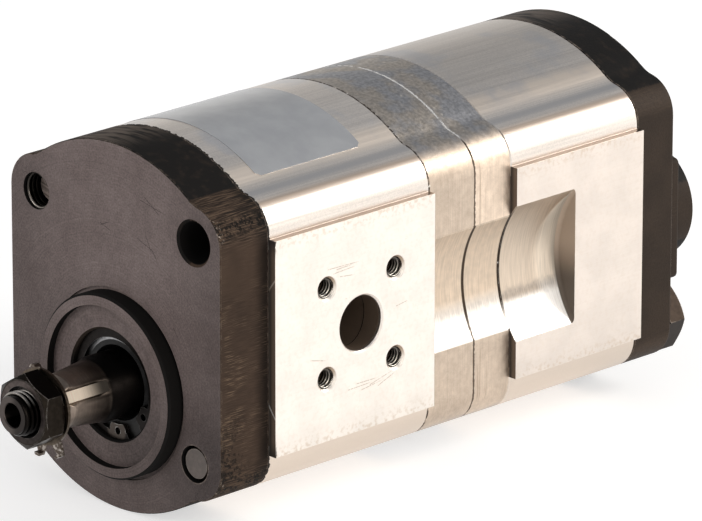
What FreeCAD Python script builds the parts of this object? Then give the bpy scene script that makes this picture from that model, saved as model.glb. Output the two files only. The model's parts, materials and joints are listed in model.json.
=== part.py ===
import FreeCAD, Part
import math
import os

# A tandem gear pump, in millimetres. The drive shaft turns about Y and its taper points to -Y,
# the mounting face lies at Y = 0, the driven gears are above (+Z), the pressure port is on +X.

# Gears
gear_centres = 31.0
teeth = 12
pressure_angle = 25.0
backlash = 0.16
root_clearance = 0.6
tip_gap = 0.08
face_gap = 0.05
relief_chamfer = 0.5
form_circle_share = 1.004

# Bearings
journal_diameter = 18.0
journal_gap = 0.03
bush_wall = 1.0
block_gap = 0.03
relief_bridge = 2.8
relief_height = 9.0
relief_depth = 1.6
shaft_end_gap = 0.5

# Lengths along the pump
flange_thickness = 17.0
front_stage_front_block = 20.6
front_stage_gear = 20.4
front_stage_rear_block = 16.5
front_plate_thickness = 16.9
rear_plate_thickness = 13.4
rear_stage_front_block = 15.0
rear_stage_gear = 18.0
rear_stage_rear_block = 15.0
cover_thickness = 14.4

# Outline that the sections share
bolt_square = 60.0
boss_radius = 10.0
crown_wall = 16.34
valley_radius = 9.0
joint_chamfer = 0.3
flange_edge = 0.35
cover_edge = 1.0
outlet_edge = 0.8
fuse_overlap = 1.0

# Pilot and seal housing
pilot_diameter = 50.0
pilot_height = 4.2
pilot_chamfer = 0.6
pilot_recess_diameter = 43.8
pilot_recess_depth = 2.3
pilot_relief_width = 1.0
pilot_relief_depth = 0.8
seal_bore_diameter = 30.0
seal_bore_chamfer = 0.5
seal_width = 7.0
seal_sheet = 1.0
seal_lip_gap = 0.03
seal_lip_wall = 0.9
seal_case_reach = 3.4
garter_wire = 1.2
shaft_passage_gap = 0.6

# Seal circlip
circlip_setback = 1.5
circlip_thickness = 1.2
circlip_seat = 0.7
circlip_gap = 0.05
circlip_band = 3.2
circlip_ear_reach = 4.7
circlip_ear_width = 6.0
circlip_hole = 2.0
circlip_gap_angle = -58.0
circlip_ear_angle = 27.0

# Bolts and bolt holes
mount_hole_diameter = 11.5
tie_hole_diameter = 11.0
tie_bolt_diameter = 10.0
tie_bolt_chamfer = 1.0
tie_head_across = 17.0
tie_head_height = 6.4
tie_head_face_share = 0.95
tie_head_phase = 4.0
thread_gap = 0.03
lower_bolt_recess = 0.6
upper_bolt_recess = 5.2
hole_chamfer = 0.6

# Port pads and side ports
pad_height = 58.8
pad_rise = 2.35
pressure_port_diameter = 15.0
pressure_passage_diameter = 13.0
pressure_screw_circle = 35.0
suction_port_diameter = 20.0
suction_passage_diameter = 17.0
suction_screw_circle = 40.0
port_depth = 20.0
port_screw_diameter = 5.0
port_screw_depth = 13.0
port_screw_sink = 1.0
port_chamfer = 0.5

# Scoop down the pressure side
scoop_radius = 29.5
scoop_floor = 35.5
scoop_run = 22.2
scoop_corner = 1.0

# Rear outlet
outlet_boss_x = 21.3
outlet_boss_radius = 16.4
outlet_boss_height = 10.6
outlet_pad_width = 36.0
outlet_pad_height = 34.0
outlet_pad_rise = 3.0
outlet_pad_corner = 1.5
outlet_thread_bore = 18.6
outlet_thread_depth = 15.0
outlet_sink = 1.2
outlet_passage_offset = 4.7
outlet_passage_diameter = 8.0
outlet_pocket_diameter = 12.0

# Seals between the pieces
section_seal_land = 1.4
section_seal_width = 1.8
section_seal_depth = 1.5
block_seal_land = 1.1
block_seal_width = 1.6
block_seal_depth = 1.5
block_seal_opening = 6.0
plate_seal_land = 2.0
outlet_seal_land = 0.8

# Dowels
dowel_diameter = 5.0
dowel_length = 10.0
dowel_land = 1.2

# Coupling between the stages
coupling_diameter = 26.0
coupling_bore_gap = 1.5
coupling_end_gap = 1.5
coupling_slot_depth = 8.0
coupling_slot_gap = 0.1
tongue_thickness = 8.0
tongue_length = 7.5
tongue_diameter = 17.0

# Shaft end
taper_diameter = 17.0
taper_start = 7.5
taper_length = 14.9
taper_ratio = 5.0
shoulder_chamfer = 0.5
thread_diameter = 12.0
thread_relief = 0.8
thread_relief_length = 1.6
thread_end = 36.0
thread_chamfer = 1.0
centre_hole_diameter = 6.2
centre_hole_depth = 7.0
centre_hole_sink = 0.4

# Woodruff key
key_width = 3.0
key_disc_diameter = 16.0
key_height = 6.5
key_rise = 1.4
key_end = 9.6
key_angle = 26.0

# Nut and tab washer
nut_across = 18.0
nut_height = 6.4
nut_front = 32.2
nut_phase = 2.0
washer_diameter = 20.6
washer_thickness = 0.8
washer_gap = 0.1
tab_root_width = 4.0
tab_tip_width = 1.6
tab_lift = 1.2
tab_places = ((101.0, 11.5), (267.0, 13.3), (301.0, 14.0))
nut_face_share = 0.97
nut_sink = 0.9
hex_chamfer_angle = 30.0
washer_key_gap = 0.15

# Sizes worked out from those above
mid_z = gear_centres / 2
module = gear_centres / teeth
tip_radius = gear_centres / 2 + module
root_radius = gear_centres / 2 - module - root_clearance
chamber_radius = tip_radius + tip_gap
block_radius = chamber_radius - block_gap
journal_radius = journal_diameter / 2
bush_bore = journal_radius + journal_gap
bush_radius = bush_bore + bush_wall
crown_radius = mid_z + chamber_radius + crown_wall
half_width = bolt_square / 2 + boss_radius
pad_x = half_width + pad_rise
seal_contact = journal_radius + seal_lip_gap
spring_seat = seal_contact + seal_lip_wall
section_seal_inner = chamber_radius + section_seal_land
section_seal_outer = section_seal_inner + section_seal_width
block_seal_outer = block_radius - block_seal_land
block_seal_inner = block_seal_outer - block_seal_width
outlet_passage_x = outlet_boss_x + outlet_passage_offset
dowel_offset = mid_z + section_seal_outer + dowel_land + dowel_diameter / 2
outlet_seal_inner = outlet_passage_diameter / 2 + outlet_seal_land
outlet_seal_outer = outlet_seal_inner + section_seal_width
coupling_bore = coupling_diameter / 2 + coupling_bore_gap
tapped_radius = tie_bolt_diameter / 2 + thread_gap
nut_bore = thread_diameter / 2 + thread_gap
key_centre_y = -key_end - key_disc_diameter / 2
key_surface = taper_diameter / 2 - (-key_centre_y - taper_start) / taper_ratio / 2
key_top = key_surface + key_rise

# Stations along Y
front_body_start = flange_thickness
front_gear_start = front_body_start + front_stage_front_block + face_gap
front_gear_end = front_gear_start + front_stage_gear
front_gear_mid = (front_gear_start + front_gear_end) / 2
front_body_end = front_gear_end + face_gap + front_stage_rear_block
front_plate_end = front_body_end + front_plate_thickness
rear_plate_end = front_plate_end + rear_plate_thickness
rear_gear_start = rear_plate_end + rear_stage_front_block + face_gap
rear_gear_end = rear_gear_start + rear_stage_gear
rear_gear_mid = (rear_gear_start + rear_gear_end) / 2
rear_body_end = rear_gear_end + face_gap + rear_stage_rear_block
cover_end = rear_body_end + cover_thickness
recess_floor = pilot_recess_depth - pilot_height
circlip_front = recess_floor + circlip_setback
circlip_back = circlip_front + circlip_thickness
seal_back = circlip_back + seal_width

# Bolt corners as (x, z) signs: the tie bolts hold the sections together on one diagonal,
# the holes on the other diagonal take the customer's long mounting bolts
tie_corners = {"lower": (1, -1), "upper": (-1, 1)}
mount_corners = ((1, 1), (-1, -1))
all_corners = ((1, 1), (1, -1), (-1, -1), (-1, 1))


def at(x, y, z):
    """A point, or a direction, in the pump's frame."""
    return FreeCAD.Vector(x, y, z)


def bolt_place(corner):
    """The x and z of one corner of the bolt square."""
    return corner[0] * bolt_square / 2, mid_z + corner[1] * bolt_square / 2


def rod(radius, y_from, y_to, x=0.0, z=0.0):
    """A round solid along Y."""
    return Part.makeCylinder(radius, y_to - y_from, at(x, y_from, z), at(0, 1, 0))


def flare(radius_from, radius_to, y_from, y_to, x=0.0, z=0.0):
    """A cone frustum along Y, such as a countersink."""
    return Part.makeCone(radius_from, radius_to, y_to - y_from, at(x, y_from, z), at(0, 1, 0))


def side_rod(radius, x_from, x_to, y, z):
    """A round solid along X, drawn from x_from to x_to in either direction."""
    way = 1 if x_to > x_from else -1
    return Part.makeCylinder(radius, abs(x_to - x_from), at(x_from, y, z), at(way, 0, 0))


def side_flare(radius_from, radius_to, x_from, x_to, y, z):
    """A cone frustum along X."""
    way = 1 if x_to > x_from else -1
    return Part.makeCone(radius_from, radius_to, abs(x_to - x_from), at(x_from, y, z), at(way, 0, 0))


def block_of(x_from, x_to, y_from, y_to, z_from, z_to):
    """A rectangular block between two opposite corners."""
    return Part.makeBox(x_to - x_from, y_to - y_from, z_to - z_from, at(x_from, y_from, z_from))


def turned(profile):
    """A solid of revolution about Y from a closed outline of (y, radius) points."""
    corners = [at(radius, y, 0) for y, radius in profile]
    wire = Part.makePolygon(corners + [corners[0]])
    return Part.Face(wire).revolve(at(0, 0, 0), at(0, 1, 0), 360)


def about_y(shape, angle, z=0.0):
    """A copy turned about an axis along Y at x = 0, positive from +X towards +Z."""
    copy = shape.copy()
    copy.rotate(at(0, 0, z), at(0, 1, 0), -angle)
    return copy


def figure_eight(radius, y_from, y_to):
    """Two discs about the gear axes, joined in one solid."""
    lower = rod(radius, y_from, y_to)
    upper = rod(radius, y_from, y_to, 0, gear_centres)
    return lower.fuse(upper).removeSplitter()


def figure_eight_ring(outer, inner, y_from, y_to):
    """A seal ring, or its groove, that follows the outline of both gear bores."""
    return figure_eight(outer, y_from, y_to).cut(figure_eight(inner, y_from, y_to))


def ring(outer, inner, y_from, y_to, x=0.0, z=0.0):
    """A flat ring about an axis along Y."""
    return rod(outer, y_from, y_to, x, z).cut(rod(inner, y_from, y_to, x, z))


def hex_corner(across):
    """Radius of the corners of a hexagon of that width across its flats."""
    return across / 2 / math.cos(math.pi / 6)


def hex_prism(across, y_from, y_to, phase, x=0.0, z=0.0):
    """A hexagon prism along Y, its first corner at phase degrees from +X."""
    corner = hex_corner(across)
    points = []
    for step in range(7):
        angle = math.radians(phase + 60 * step)
        points.append(at(x + corner * math.cos(angle), y_from, z + corner * math.sin(angle)))
    return Part.Face(Part.makePolygon(points)).extrude(at(0, y_to - y_from, 0))


def save(name, *solids):
    """Write one named piece, or a group of like pieces, to its own file."""
    shape = solids[0] if len(solids) == 1 else Part.makeCompound(list(solids))
    shape.exportStep("parts/" + name + ".step")


def quarter_outline(sign_x, sign_z, y):
    """Boss and valley arcs of one corner, with the point where the crown begins."""
    def place(px, pz):
        return at(sign_x * px, y, mid_z + sign_z * pz)

    boss = bolt_square / 2
    reach = math.hypot(boss, boss)
    flat_end = place(half_width, boss)
    if reach + boss_radius <= crown_radius:
        rise = math.sqrt(crown_radius ** 2 - half_width ** 2)
        return [Part.makeLine(flat_end, place(half_width, rise))], place(half_width, rise)
    valley_reach = crown_radius + valley_radius
    boss_gap = boss_radius + valley_radius
    swing = math.acos((reach ** 2 + valley_reach ** 2 - boss_gap ** 2) / (2 * reach * valley_reach))
    lean = math.radians(45) + swing
    valley_x = valley_reach * math.cos(lean)
    valley_z = valley_reach * math.sin(lean)
    crown_x = crown_radius * math.cos(lean)
    crown_z = crown_radius * math.sin(lean)
    to_valley = math.atan2(valley_z - boss, valley_x - boss)
    meet_x = boss + boss_radius * math.cos(to_valley)
    meet_z = boss + boss_radius * math.sin(to_valley)
    boss_mid = to_valley / 2
    boss_mid_point = place(boss + boss_radius * math.cos(boss_mid), boss + boss_radius * math.sin(boss_mid))
    meet = place(meet_x, meet_z)
    crown_start = place(crown_x, crown_z)
    chord_x = (meet_x + crown_x) / 2 - valley_x
    chord_z = (meet_z + crown_z) / 2 - valley_z
    scale = valley_radius / math.hypot(chord_x, chord_z)
    valley_mid_point = place(valley_x + chord_x * scale, valley_z + chord_z * scale)
    boss_arc = Part.Arc(flat_end, boss_mid_point, meet).toShape()
    valley_arc = Part.Arc(meet, valley_mid_point, crown_start).toShape()
    return [boss_arc, valley_arc], crown_start


def section_blank(y_from, y_to):
    """A prism of the shared outline: two crowns, four bolt bosses and two flat sides."""
    edges = []
    crown_starts = {}
    for corner in all_corners:
        arcs, crown_starts[corner] = quarter_outline(corner[0], corner[1], y_from)
        edges += arcs
    for sign in (1, -1):
        top = at(0, y_from, mid_z + sign * crown_radius)
        edges.append(Part.Arc(crown_starts[(1, sign)], top, crown_starts[(-1, sign)]).toShape())
        side_x = sign * half_width
        side_z = bolt_square / 2
        edges.append(Part.makeLine(at(side_x, y_from, mid_z - side_z), at(side_x, y_from, mid_z + side_z)))
    wire = Part.Wire(Part.__sortEdges__(edges))
    return Part.Face(wire).extrude(at(0, y_to - y_from, 0))


def rim_edges(shape, y):
    """The outer edges of a section at one station, without those of its holes."""
    found = []
    for edge in shape.Edges:
        box = edge.BoundBox
        if abs(box.YMin - y) < 1e-6 and abs(box.YMax - y) < 1e-6:
            found.append(edge)
    return found


def eased(blank, front, back, y_from, y_to):
    """A blank with its rims broken at the joints with its neighbours."""
    if front:
        blank = blank.makeChamfer(front, rim_edges(blank, y_from))
    if back:
        blank = blank.makeChamfer(back, rim_edges(blank, y_to))
    return blank


def bolt_holes(y_from, y_to):
    """Clearance holes for the tie bolts and for the mounting bolts."""
    holes = []
    for corner in tie_corners.values():
        x, z = bolt_place(corner)
        holes.append(rod(tie_hole_diameter / 2, y_from, y_to, x, z))
    for corner in mount_corners:
        x, z = bolt_place(corner)
        holes.append(rod(mount_hole_diameter / 2, y_from, y_to, x, z))
    return holes


def dowel_places():
    """The two dowels of a joint, below and above the gear chamber."""
    return ((0, mid_z - dowel_offset), (0, mid_z + dowel_offset))


def dowel_holes(*stations):
    """Blind holes for half of each dowel on either side of the joints named."""
    half = dowel_length / 2
    return [rod(dowel_diameter / 2, y - half, y + half, x, z) for y in stations for x, z in dowel_places()]


def section_grooves(*spans):
    """Grooves for the seals round the gear chamber."""
    return [figure_eight_ring(section_seal_outer, section_seal_inner, y0, y1) for y0, y1 in spans]


def screw_holes(side, y, circle):
    """The four tapped holes of a port, countersunk, on a square whose corners lie on the circle."""
    offset = circle / 2 / math.sqrt(2)
    cutters = []
    for sign_y in (-1, 1):
        for sign_z in (-1, 1):
            hole_y = y + sign_y * offset
            hole_z = mid_z + sign_z * offset
            bottom = side * (pad_x - port_screw_depth)
            cutters.append(side_rod(port_screw_diameter / 2, side * pad_x, bottom, hole_y, hole_z))
            sink = port_screw_diameter / 2 + port_screw_sink
            inner = side * (pad_x - port_screw_sink)
            cutters.append(side_flare(sink, port_screw_diameter / 2, side * pad_x, inner, hole_y, hole_z))
    return cutters


def side_port(side, y, diameter, passage, circle):
    """A flanged port: bore from the pad, a narrower passage into the gear chamber, and the screw holes."""
    radius = diameter / 2
    bore = side_rod(radius, side * pad_x, side * (pad_x - port_depth), y, mid_z)
    way_in = side_rod(passage / 2, side * pad_x, 0, y, mid_z)
    mouth = side_flare(radius + port_chamfer, radius, side * pad_x, side * (pad_x - port_chamfer), y, mid_z)
    return [bore, way_in, mouth] + screw_holes(side, y, circle)


def scoop():
    """The round channel milled along the pressure side for a pipe that runs to the rear."""
    centre_x = scoop_floor + scoop_radius
    cutter = rod(scoop_radius, front_body_end, rear_plate_end + scoop_run, centre_x, mid_z)
    return cutter.makeFillet(scoop_corner, rim_edges(cutter, rear_plate_end + scoop_run))


def front_cover():
    """Mounting flange with the pilot, the shaft seal bore and the tapped holes of the tie bolts."""
    blank = section_blank(0, flange_thickness)
    blank = blank.makeFillet(flange_edge, rim_edges(blank, 0))
    blank = eased(blank, 0, joint_chamfer, 0, flange_thickness)
    pilot_radius = pilot_diameter / 2
    pilot = turned([
        (-pilot_height, 0),
        (-pilot_height, pilot_radius - pilot_chamfer),
        (-pilot_height + pilot_chamfer, pilot_radius),
        (pilot_relief_depth, pilot_radius),
        (pilot_relief_depth, 0)])
    relief = ring(pilot_radius + pilot_relief_width, pilot_radius, 0, pilot_relief_depth)
    shape = blank.cut(relief).fuse(pilot)
    seal_radius = seal_bore_diameter / 2
    cutters = [
        rod(pilot_recess_diameter / 2, -pilot_height, recess_floor),
        rod(seal_radius, recess_floor, seal_back),
        flare(seal_radius + seal_bore_chamfer, seal_radius, recess_floor, recess_floor + seal_bore_chamfer),
        rod(seal_radius + circlip_seat, circlip_front - circlip_gap, circlip_back),
        rod(journal_radius + shaft_passage_gap, seal_back, flange_thickness)]
    for corner in tie_corners.values():
        x, z = bolt_place(corner)
        cutters.append(rod(tapped_radius, 0, flange_thickness, x, z))
    for corner in mount_corners:
        x, z = bolt_place(corner)
        radius = mount_hole_diameter / 2
        cutters.append(rod(radius, 0, flange_thickness, x, z))
        cutters.append(flare(radius + hole_chamfer, radius, 0, hole_chamfer, x, z))
    return shape.cut(cutters + dowel_holes(flange_thickness)).removeSplitter()


def pump_body(y_from, y_to, cutters):
    """An aluminium section with a port pad on each side and the two gear bores through it."""
    blank = eased(section_blank(y_from, y_to), joint_chamfer, joint_chamfer, y_from, y_to)
    pads = block_of(-pad_x, pad_x, y_from, y_to, mid_z - pad_height / 2, mid_z + pad_height / 2)
    chamber = figure_eight(chamber_radius, y_from, y_to)
    seats = section_grooves((y_from, y_from + section_seal_depth), (y_to - section_seal_depth, y_to))
    common = [chamber] + seats + bolt_holes(y_from, y_to) + dowel_holes(y_from, y_to)
    return blank.fuse(pads).cut(common + cutters).removeSplitter()


def front_body():
    """First stage: pressure port on +X, suction port on -X."""
    ports = side_port(1, front_gear_mid, pressure_port_diameter, pressure_passage_diameter,
                      pressure_screw_circle)
    ports += side_port(-1, front_gear_mid, suction_port_diameter, suction_passage_diameter,
                       suction_screw_circle)
    return pump_body(front_body_start, front_body_end, ports)


def rear_body():
    """Second stage: suction port on -X, outlet by a passage to the rear cover."""
    ports = side_port(-1, rear_gear_mid, suction_port_diameter, suction_passage_diameter,
                      suction_screw_circle)
    passage = outlet_passage_diameter / 2
    ports.append(side_rod(outlet_pocket_diameter / 2, 0, outlet_passage_x, rear_gear_mid, mid_z))
    ports.append(rod(passage, rear_gear_mid, rear_body_end, outlet_passage_x, mid_z))
    ports.append(outlet_seal())
    ports.append(scoop())
    return pump_body(rear_plate_end, rear_body_end, ports)


def outlet_seal():
    """Ring seal round the outlet passage, in the rear face of the second body."""
    groove_from = rear_body_end - section_seal_depth
    return ring(outlet_seal_outer, outlet_seal_inner, groove_from, rear_body_end, outlet_passage_x, mid_z)


def front_plate():
    """Intermediate plate behind the first stage, with the groove of the plate seal."""
    blank = section_blank(front_body_end, front_plate_end)
    blank = eased(blank, joint_chamfer, joint_chamfer, front_body_end, front_plate_end)
    cutters = bolt_holes(front_body_end, front_plate_end) + dowel_holes(front_body_end, front_plate_end)
    cutters.append(rod(coupling_bore, front_body_end, front_plate_end))
    cutters.append(plate_seal())
    cutters.append(scoop())
    return blank.cut(cutters).removeSplitter()


def rear_plate():
    """Intermediate plate in front of the second stage."""
    blank = section_blank(front_plate_end, rear_plate_end)
    blank = eased(blank, joint_chamfer, joint_chamfer, front_plate_end, rear_plate_end)
    cutters = bolt_holes(front_plate_end, rear_plate_end) + dowel_holes(front_plate_end, rear_plate_end)
    cutters.append(rod(coupling_bore, front_plate_end, rear_plate_end))
    cutters.append(scoop())
    return blank.cut(cutters).removeSplitter()


def plate_seal():
    """Ring seal between the plates, round the coupling."""
    inner = coupling_bore + plate_seal_land
    return ring(inner + section_seal_width, inner, front_plate_end - section_seal_depth, front_plate_end)


def rear_cover():
    """Rear cover with the raised pad and the round boss of the second outlet."""
    blank = section_blank(rear_body_end, cover_end)
    blank = blank.makeFillet(cover_edge, rim_edges(blank, cover_end))
    blank = eased(blank, joint_chamfer, 0, rear_body_end, cover_end)
    pad = block_of(outlet_boss_x - outlet_pad_width / 2, outlet_boss_x + outlet_pad_width / 2,
                   cover_end - fuse_overlap, cover_end + outlet_pad_rise,
                   mid_z - outlet_pad_height / 2, mid_z + outlet_pad_height / 2)
    pad_depth = outlet_pad_rise + fuse_overlap
    corners = [edge for edge in pad.Edges if abs(edge.BoundBox.YLength - pad_depth) < 1e-6]
    pad = pad.makeFillet(outlet_pad_corner, corners)
    pad = pad.makeFillet(outlet_edge, rim_edges(pad, cover_end + outlet_pad_rise))
    outlet_face = cover_end + outlet_boss_height
    boss = rod(outlet_boss_radius, cover_end - fuse_overlap, outlet_face, outlet_boss_x, mid_z)
    boss = boss.makeFillet(outlet_edge, rim_edges(boss, outlet_face))
    shape = blank.fuse(pad).fuse(boss)
    bore = outlet_thread_bore / 2
    cutters = bolt_holes(rear_body_end, cover_end) + dowel_holes(rear_body_end)
    cutters.append(rod(bore, outlet_face - outlet_thread_depth, outlet_face, outlet_boss_x, mid_z))
    cutters.append(flare(bore, bore + outlet_sink, outlet_face - outlet_sink, outlet_face,
                         outlet_boss_x, mid_z))
    cutters.append(rod(outlet_passage_diameter / 2, rear_body_end, outlet_face - outlet_thread_depth,
                       outlet_passage_x, mid_z))
    return shape.cut(cutters).removeSplitter()


def block_seal(y_from, y_to):
    """Pressure seal of a bearing block, or its groove: a 3 that is open towards the suction side."""
    loop = figure_eight_ring(block_seal_outer, block_seal_inner, y_from, y_to)
    beyond = gear_centres + block_radius
    return loop.cut(block_of(-beyond, -block_seal_opening, y_from, y_to, -beyond, beyond))


def relief_pockets(y_from, y_to):
    """Two pockets beside the line of centres, which let trapped oil out of the meshing teeth."""
    low = mid_z - relief_height / 2
    high = mid_z + relief_height / 2
    inner = relief_bridge / 2
    return [block_of(inner, block_radius, y_from, y_to, low, high),
            block_of(-block_radius, -inner, y_from, y_to, low, high)]


def bearing_block(y_from, y_to, gear_side):
    """Figure-eight block with two bush bores, a seal groove outside and relief pockets at the gears."""
    shape = figure_eight(block_radius, y_from, y_to)
    bores = [rod(bush_radius, y_from, y_to, 0, z) for z in (0, gear_centres)]
    if gear_side > 0:
        groove = block_seal(y_from, y_from + block_seal_depth)
        pockets = relief_pockets(y_to - relief_depth, y_to)
    else:
        groove = block_seal(y_to - block_seal_depth, y_to)
        pockets = relief_pockets(y_from, y_from + relief_depth)
    return shape.cut(bores + [groove] + pockets)


def bushes(y_from, y_to):
    """The two plain bushes of one bearing block."""
    return [ring(bush_radius, bush_bore, y_from, y_to, 0, z) for z in (0, gear_centres)]


def involute(radius, base_radius):
    """The involute function of the pressure angle at a radius, in radians."""
    angle = math.acos(base_radius / radius)
    return math.tan(angle) - angle


def gear_blank(y_from, y_to, axis_z, phase):
    """Spur gear along Y: each flank is two arcs through involute points, on a radial root."""
    pitch = gear_centres / 2
    base = pitch * math.cos(math.radians(pressure_angle))
    form = base * form_circle_share
    half_tooth = math.pi / 2 / teeth - backlash / 4 / pitch + involute(pitch, base)

    def point(radius, angle):
        return at(radius * math.cos(angle), y_from, axis_z + radius * math.sin(angle))

    stations = [form, (form + pitch) / 2, pitch, (pitch + tip_radius) / 2, tip_radius]
    edges = []
    for tooth in range(teeth):
        centre = math.radians(phase + 360 / teeth * tooth)
        spread = [half_tooth - involute(radius, base) for radius in stations]
        for side in (-1, 1):
            flank = [point(r, centre + side * s) for r, s in zip(stations, spread)]
            edges.append(Part.makeLine(point(root_radius, centre + side * spread[0]), flank[0]))
            edges.append(Part.Arc(flank[0], flank[1], flank[2]).toShape())
            edges.append(Part.Arc(flank[2], flank[3], flank[4]).toShape())
        ends = (centre - spread[-1], centre + spread[-1])
        edges.append(Part.Arc(point(tip_radius, ends[0]), point(tip_radius, centre),
                              point(tip_radius, ends[1])).toShape())
        gap_centre = centre + math.pi / teeth
        gap = math.pi / teeth - spread[0]
        edges.append(Part.Arc(point(root_radius, gap_centre - gap), point(root_radius, gap_centre),
                              point(root_radius, gap_centre + gap)).toShape())
    wire = Part.Wire(Part.__sortEdges__(edges))
    return Part.Face(wire).extrude(at(0, y_to - y_from, 0))


def driven_gear(gear_from, gear_to, start, end):
    """Driven gear with a journal on each side, half a tooth out of step with the drive gear."""
    phase = -90 + 180 / teeth
    journal = turned([
        (start, 0), (start, journal_radius - relief_chamfer), (start + relief_chamfer, journal_radius),
        (end - relief_chamfer, journal_radius), (end, journal_radius - relief_chamfer), (end, 0)])
    journal.translate(at(0, 0, gear_centres))
    return gear_blank(gear_from, gear_to, gear_centres, phase).fuse(journal).removeSplitter()


def tongue_cutters(y_from, y_to, across_x):
    """The two slabs that leave a tongue on a shaft end, lying along X or along Z."""
    reach = journal_radius + fuse_overlap
    half = tongue_thickness / 2
    if across_x:
        return [block_of(-reach, reach, y_from, y_to, half, reach),
                block_of(-reach, reach, y_from, y_to, -reach, -half)]
    return [block_of(half, reach, y_from, y_to, -reach, reach),
            block_of(-reach, -half, y_from, y_to, -reach, reach)]


def drive_shaft_front():
    """First drive gear in one piece with its journals, the taper, the thread and the rear tongue."""
    taper_end = taper_start + taper_length
    taper_small = taper_diameter / 2 - taper_length / taper_ratio / 2
    neck = thread_diameter / 2 - thread_relief
    tongue_from = front_body_end + shaft_end_gap
    tongue_to = tongue_from + tongue_length
    end_radius = tongue_diameter / 2
    spindle = turned([
        (-thread_end, 0),
        (-thread_end, thread_diameter / 2 - thread_chamfer),
        (-thread_end + thread_chamfer, thread_diameter / 2),
        (-taper_end - thread_relief_length, thread_diameter / 2),
        (-taper_end - thread_relief_length, neck),
        (-taper_end, neck),
        (-taper_end, taper_small),
        (-taper_start, taper_diameter / 2),
        (-taper_start + shoulder_chamfer, journal_radius),
        (tongue_from, journal_radius),
        (tongue_from, end_radius),
        (tongue_to, end_radius),
        (tongue_to, 0)])
    teeth_blank = gear_blank(front_gear_start, front_gear_end, 0, 90)
    cutters = tongue_cutters(tongue_from, tongue_to, True)
    centre_hole = centre_hole_diameter / 2
    cutters.append(rod(centre_hole, -thread_end, -thread_end + centre_hole_depth))
    cutters.append(flare(centre_hole + centre_hole_sink, centre_hole, -thread_end,
                         -thread_end + centre_hole_sink))
    cutters.append(key_disc(key_width))
    return spindle.fuse(teeth_blank).cut(cutters).removeSplitter()


def key_disc(width):
    """The whole disc that the woodruff key is cut from, in place in the taper."""
    radius = key_disc_diameter / 2
    centre_r = key_top - key_height + radius
    disc = Part.makeCylinder(radius, width, at(centre_r, key_centre_y, -width / 2), at(0, 0, 1))
    return about_y(disc, key_angle)


def woodruff_key():
    """Half-disc key that stands out of the taper."""
    radius = key_disc_diameter / 2
    keep = block_of(0, key_top, key_centre_y - radius, key_centre_y + radius, -key_width, key_width)
    return key_disc(key_width).common(about_y(keep, key_angle))


def drive_shaft_rear():
    """Second drive gear with its journals and a tongue turned a quarter from the first one."""
    tongue_to = rear_plate_end - shaft_end_gap
    tongue_from = tongue_to - tongue_length
    end = rear_body_end - shaft_end_gap
    end_radius = tongue_diameter / 2
    spindle = turned([
        (tongue_from, 0),
        (tongue_from, end_radius),
        (tongue_to, end_radius),
        (tongue_to, journal_radius),
        (end - relief_chamfer, journal_radius),
        (end, journal_radius - relief_chamfer),
        (end, 0)])
    teeth_blank = gear_blank(rear_gear_start, rear_gear_end, 0, 90)
    return spindle.fuse(teeth_blank).cut(tongue_cutters(tongue_from, tongue_to, False)).removeSplitter()


def drive_coupling():
    """Round coupling with a slot in each end for the tongues of the two drive shafts."""
    start = front_body_end + coupling_end_gap
    end = rear_plate_end - coupling_end_gap
    radius = coupling_diameter / 2
    half = tongue_thickness / 2 + coupling_slot_gap
    disc = turned([
        (start, 0), (start, radius - relief_chamfer), (start + relief_chamfer, radius),
        (end - relief_chamfer, radius), (end, radius - relief_chamfer), (end, 0)])
    front_slot = block_of(-radius, radius, start, start + coupling_slot_depth, -half, half)
    rear_slot = block_of(-half, half, end - coupling_slot_depth, end, -radius, radius)
    return disc.cut([front_slot, rear_slot])


def shaft_nut():
    """Hexagon nut, chamfered on both faces, on the shaft thread."""
    front = -nut_front
    back = front + nut_height
    corner = hex_corner(nut_across)
    face = nut_across / 2 * nut_face_share
    slope = (corner - face) * math.tan(math.radians(hex_chamfer_angle))
    barrel = turned([
        (front, 0), (front, face), (front + slope, corner),
        (back - slope, corner), (back, face), (back, 0)])
    nut = hex_prism(nut_across, front, back, 30 + nut_phase).common(barrel)
    mouth = flare(nut_bore + nut_sink, nut_bore, front, front + nut_sink)
    return nut.cut([rod(nut_bore, front, back), mouth])


def tab_washer():
    """Thin washer behind the nut: a notch over the end of the key, and tabs bent up beside the flats."""
    back = -nut_front + nut_height + washer_thickness
    front = back - washer_thickness
    radius = washer_diameter / 2
    shape = rod(radius, front, back)
    root = tab_root_width / 2
    tip = tab_tip_width / 2
    for angle, reach in tab_places:
        corners = [at(radius - fuse_overlap, front - tab_lift, -root), at(reach, front - tab_lift, -tip),
                   at(reach, front - tab_lift, tip), at(radius - fuse_overlap, front - tab_lift, root)]
        outline = Part.Face(Part.makePolygon(corners + [corners[0]]))
        tab = outline.extrude(at(0, tab_lift + washer_thickness, 0))
        bend = block_of(0, reach - washer_thickness, front - tab_lift, front, -root, root)
        shape = shape.fuse(about_y(tab.cut(bend), angle))
    notch_half = key_width / 2 + washer_key_gap
    notch = block_of(0, key_top + washer_key_gap, front, back, -notch_half, notch_half)
    bore = rod(thread_diameter / 2 + washer_gap, front, back)
    return shape.cut([bore, about_y(notch, key_angle)]).removeSplitter()


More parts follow.
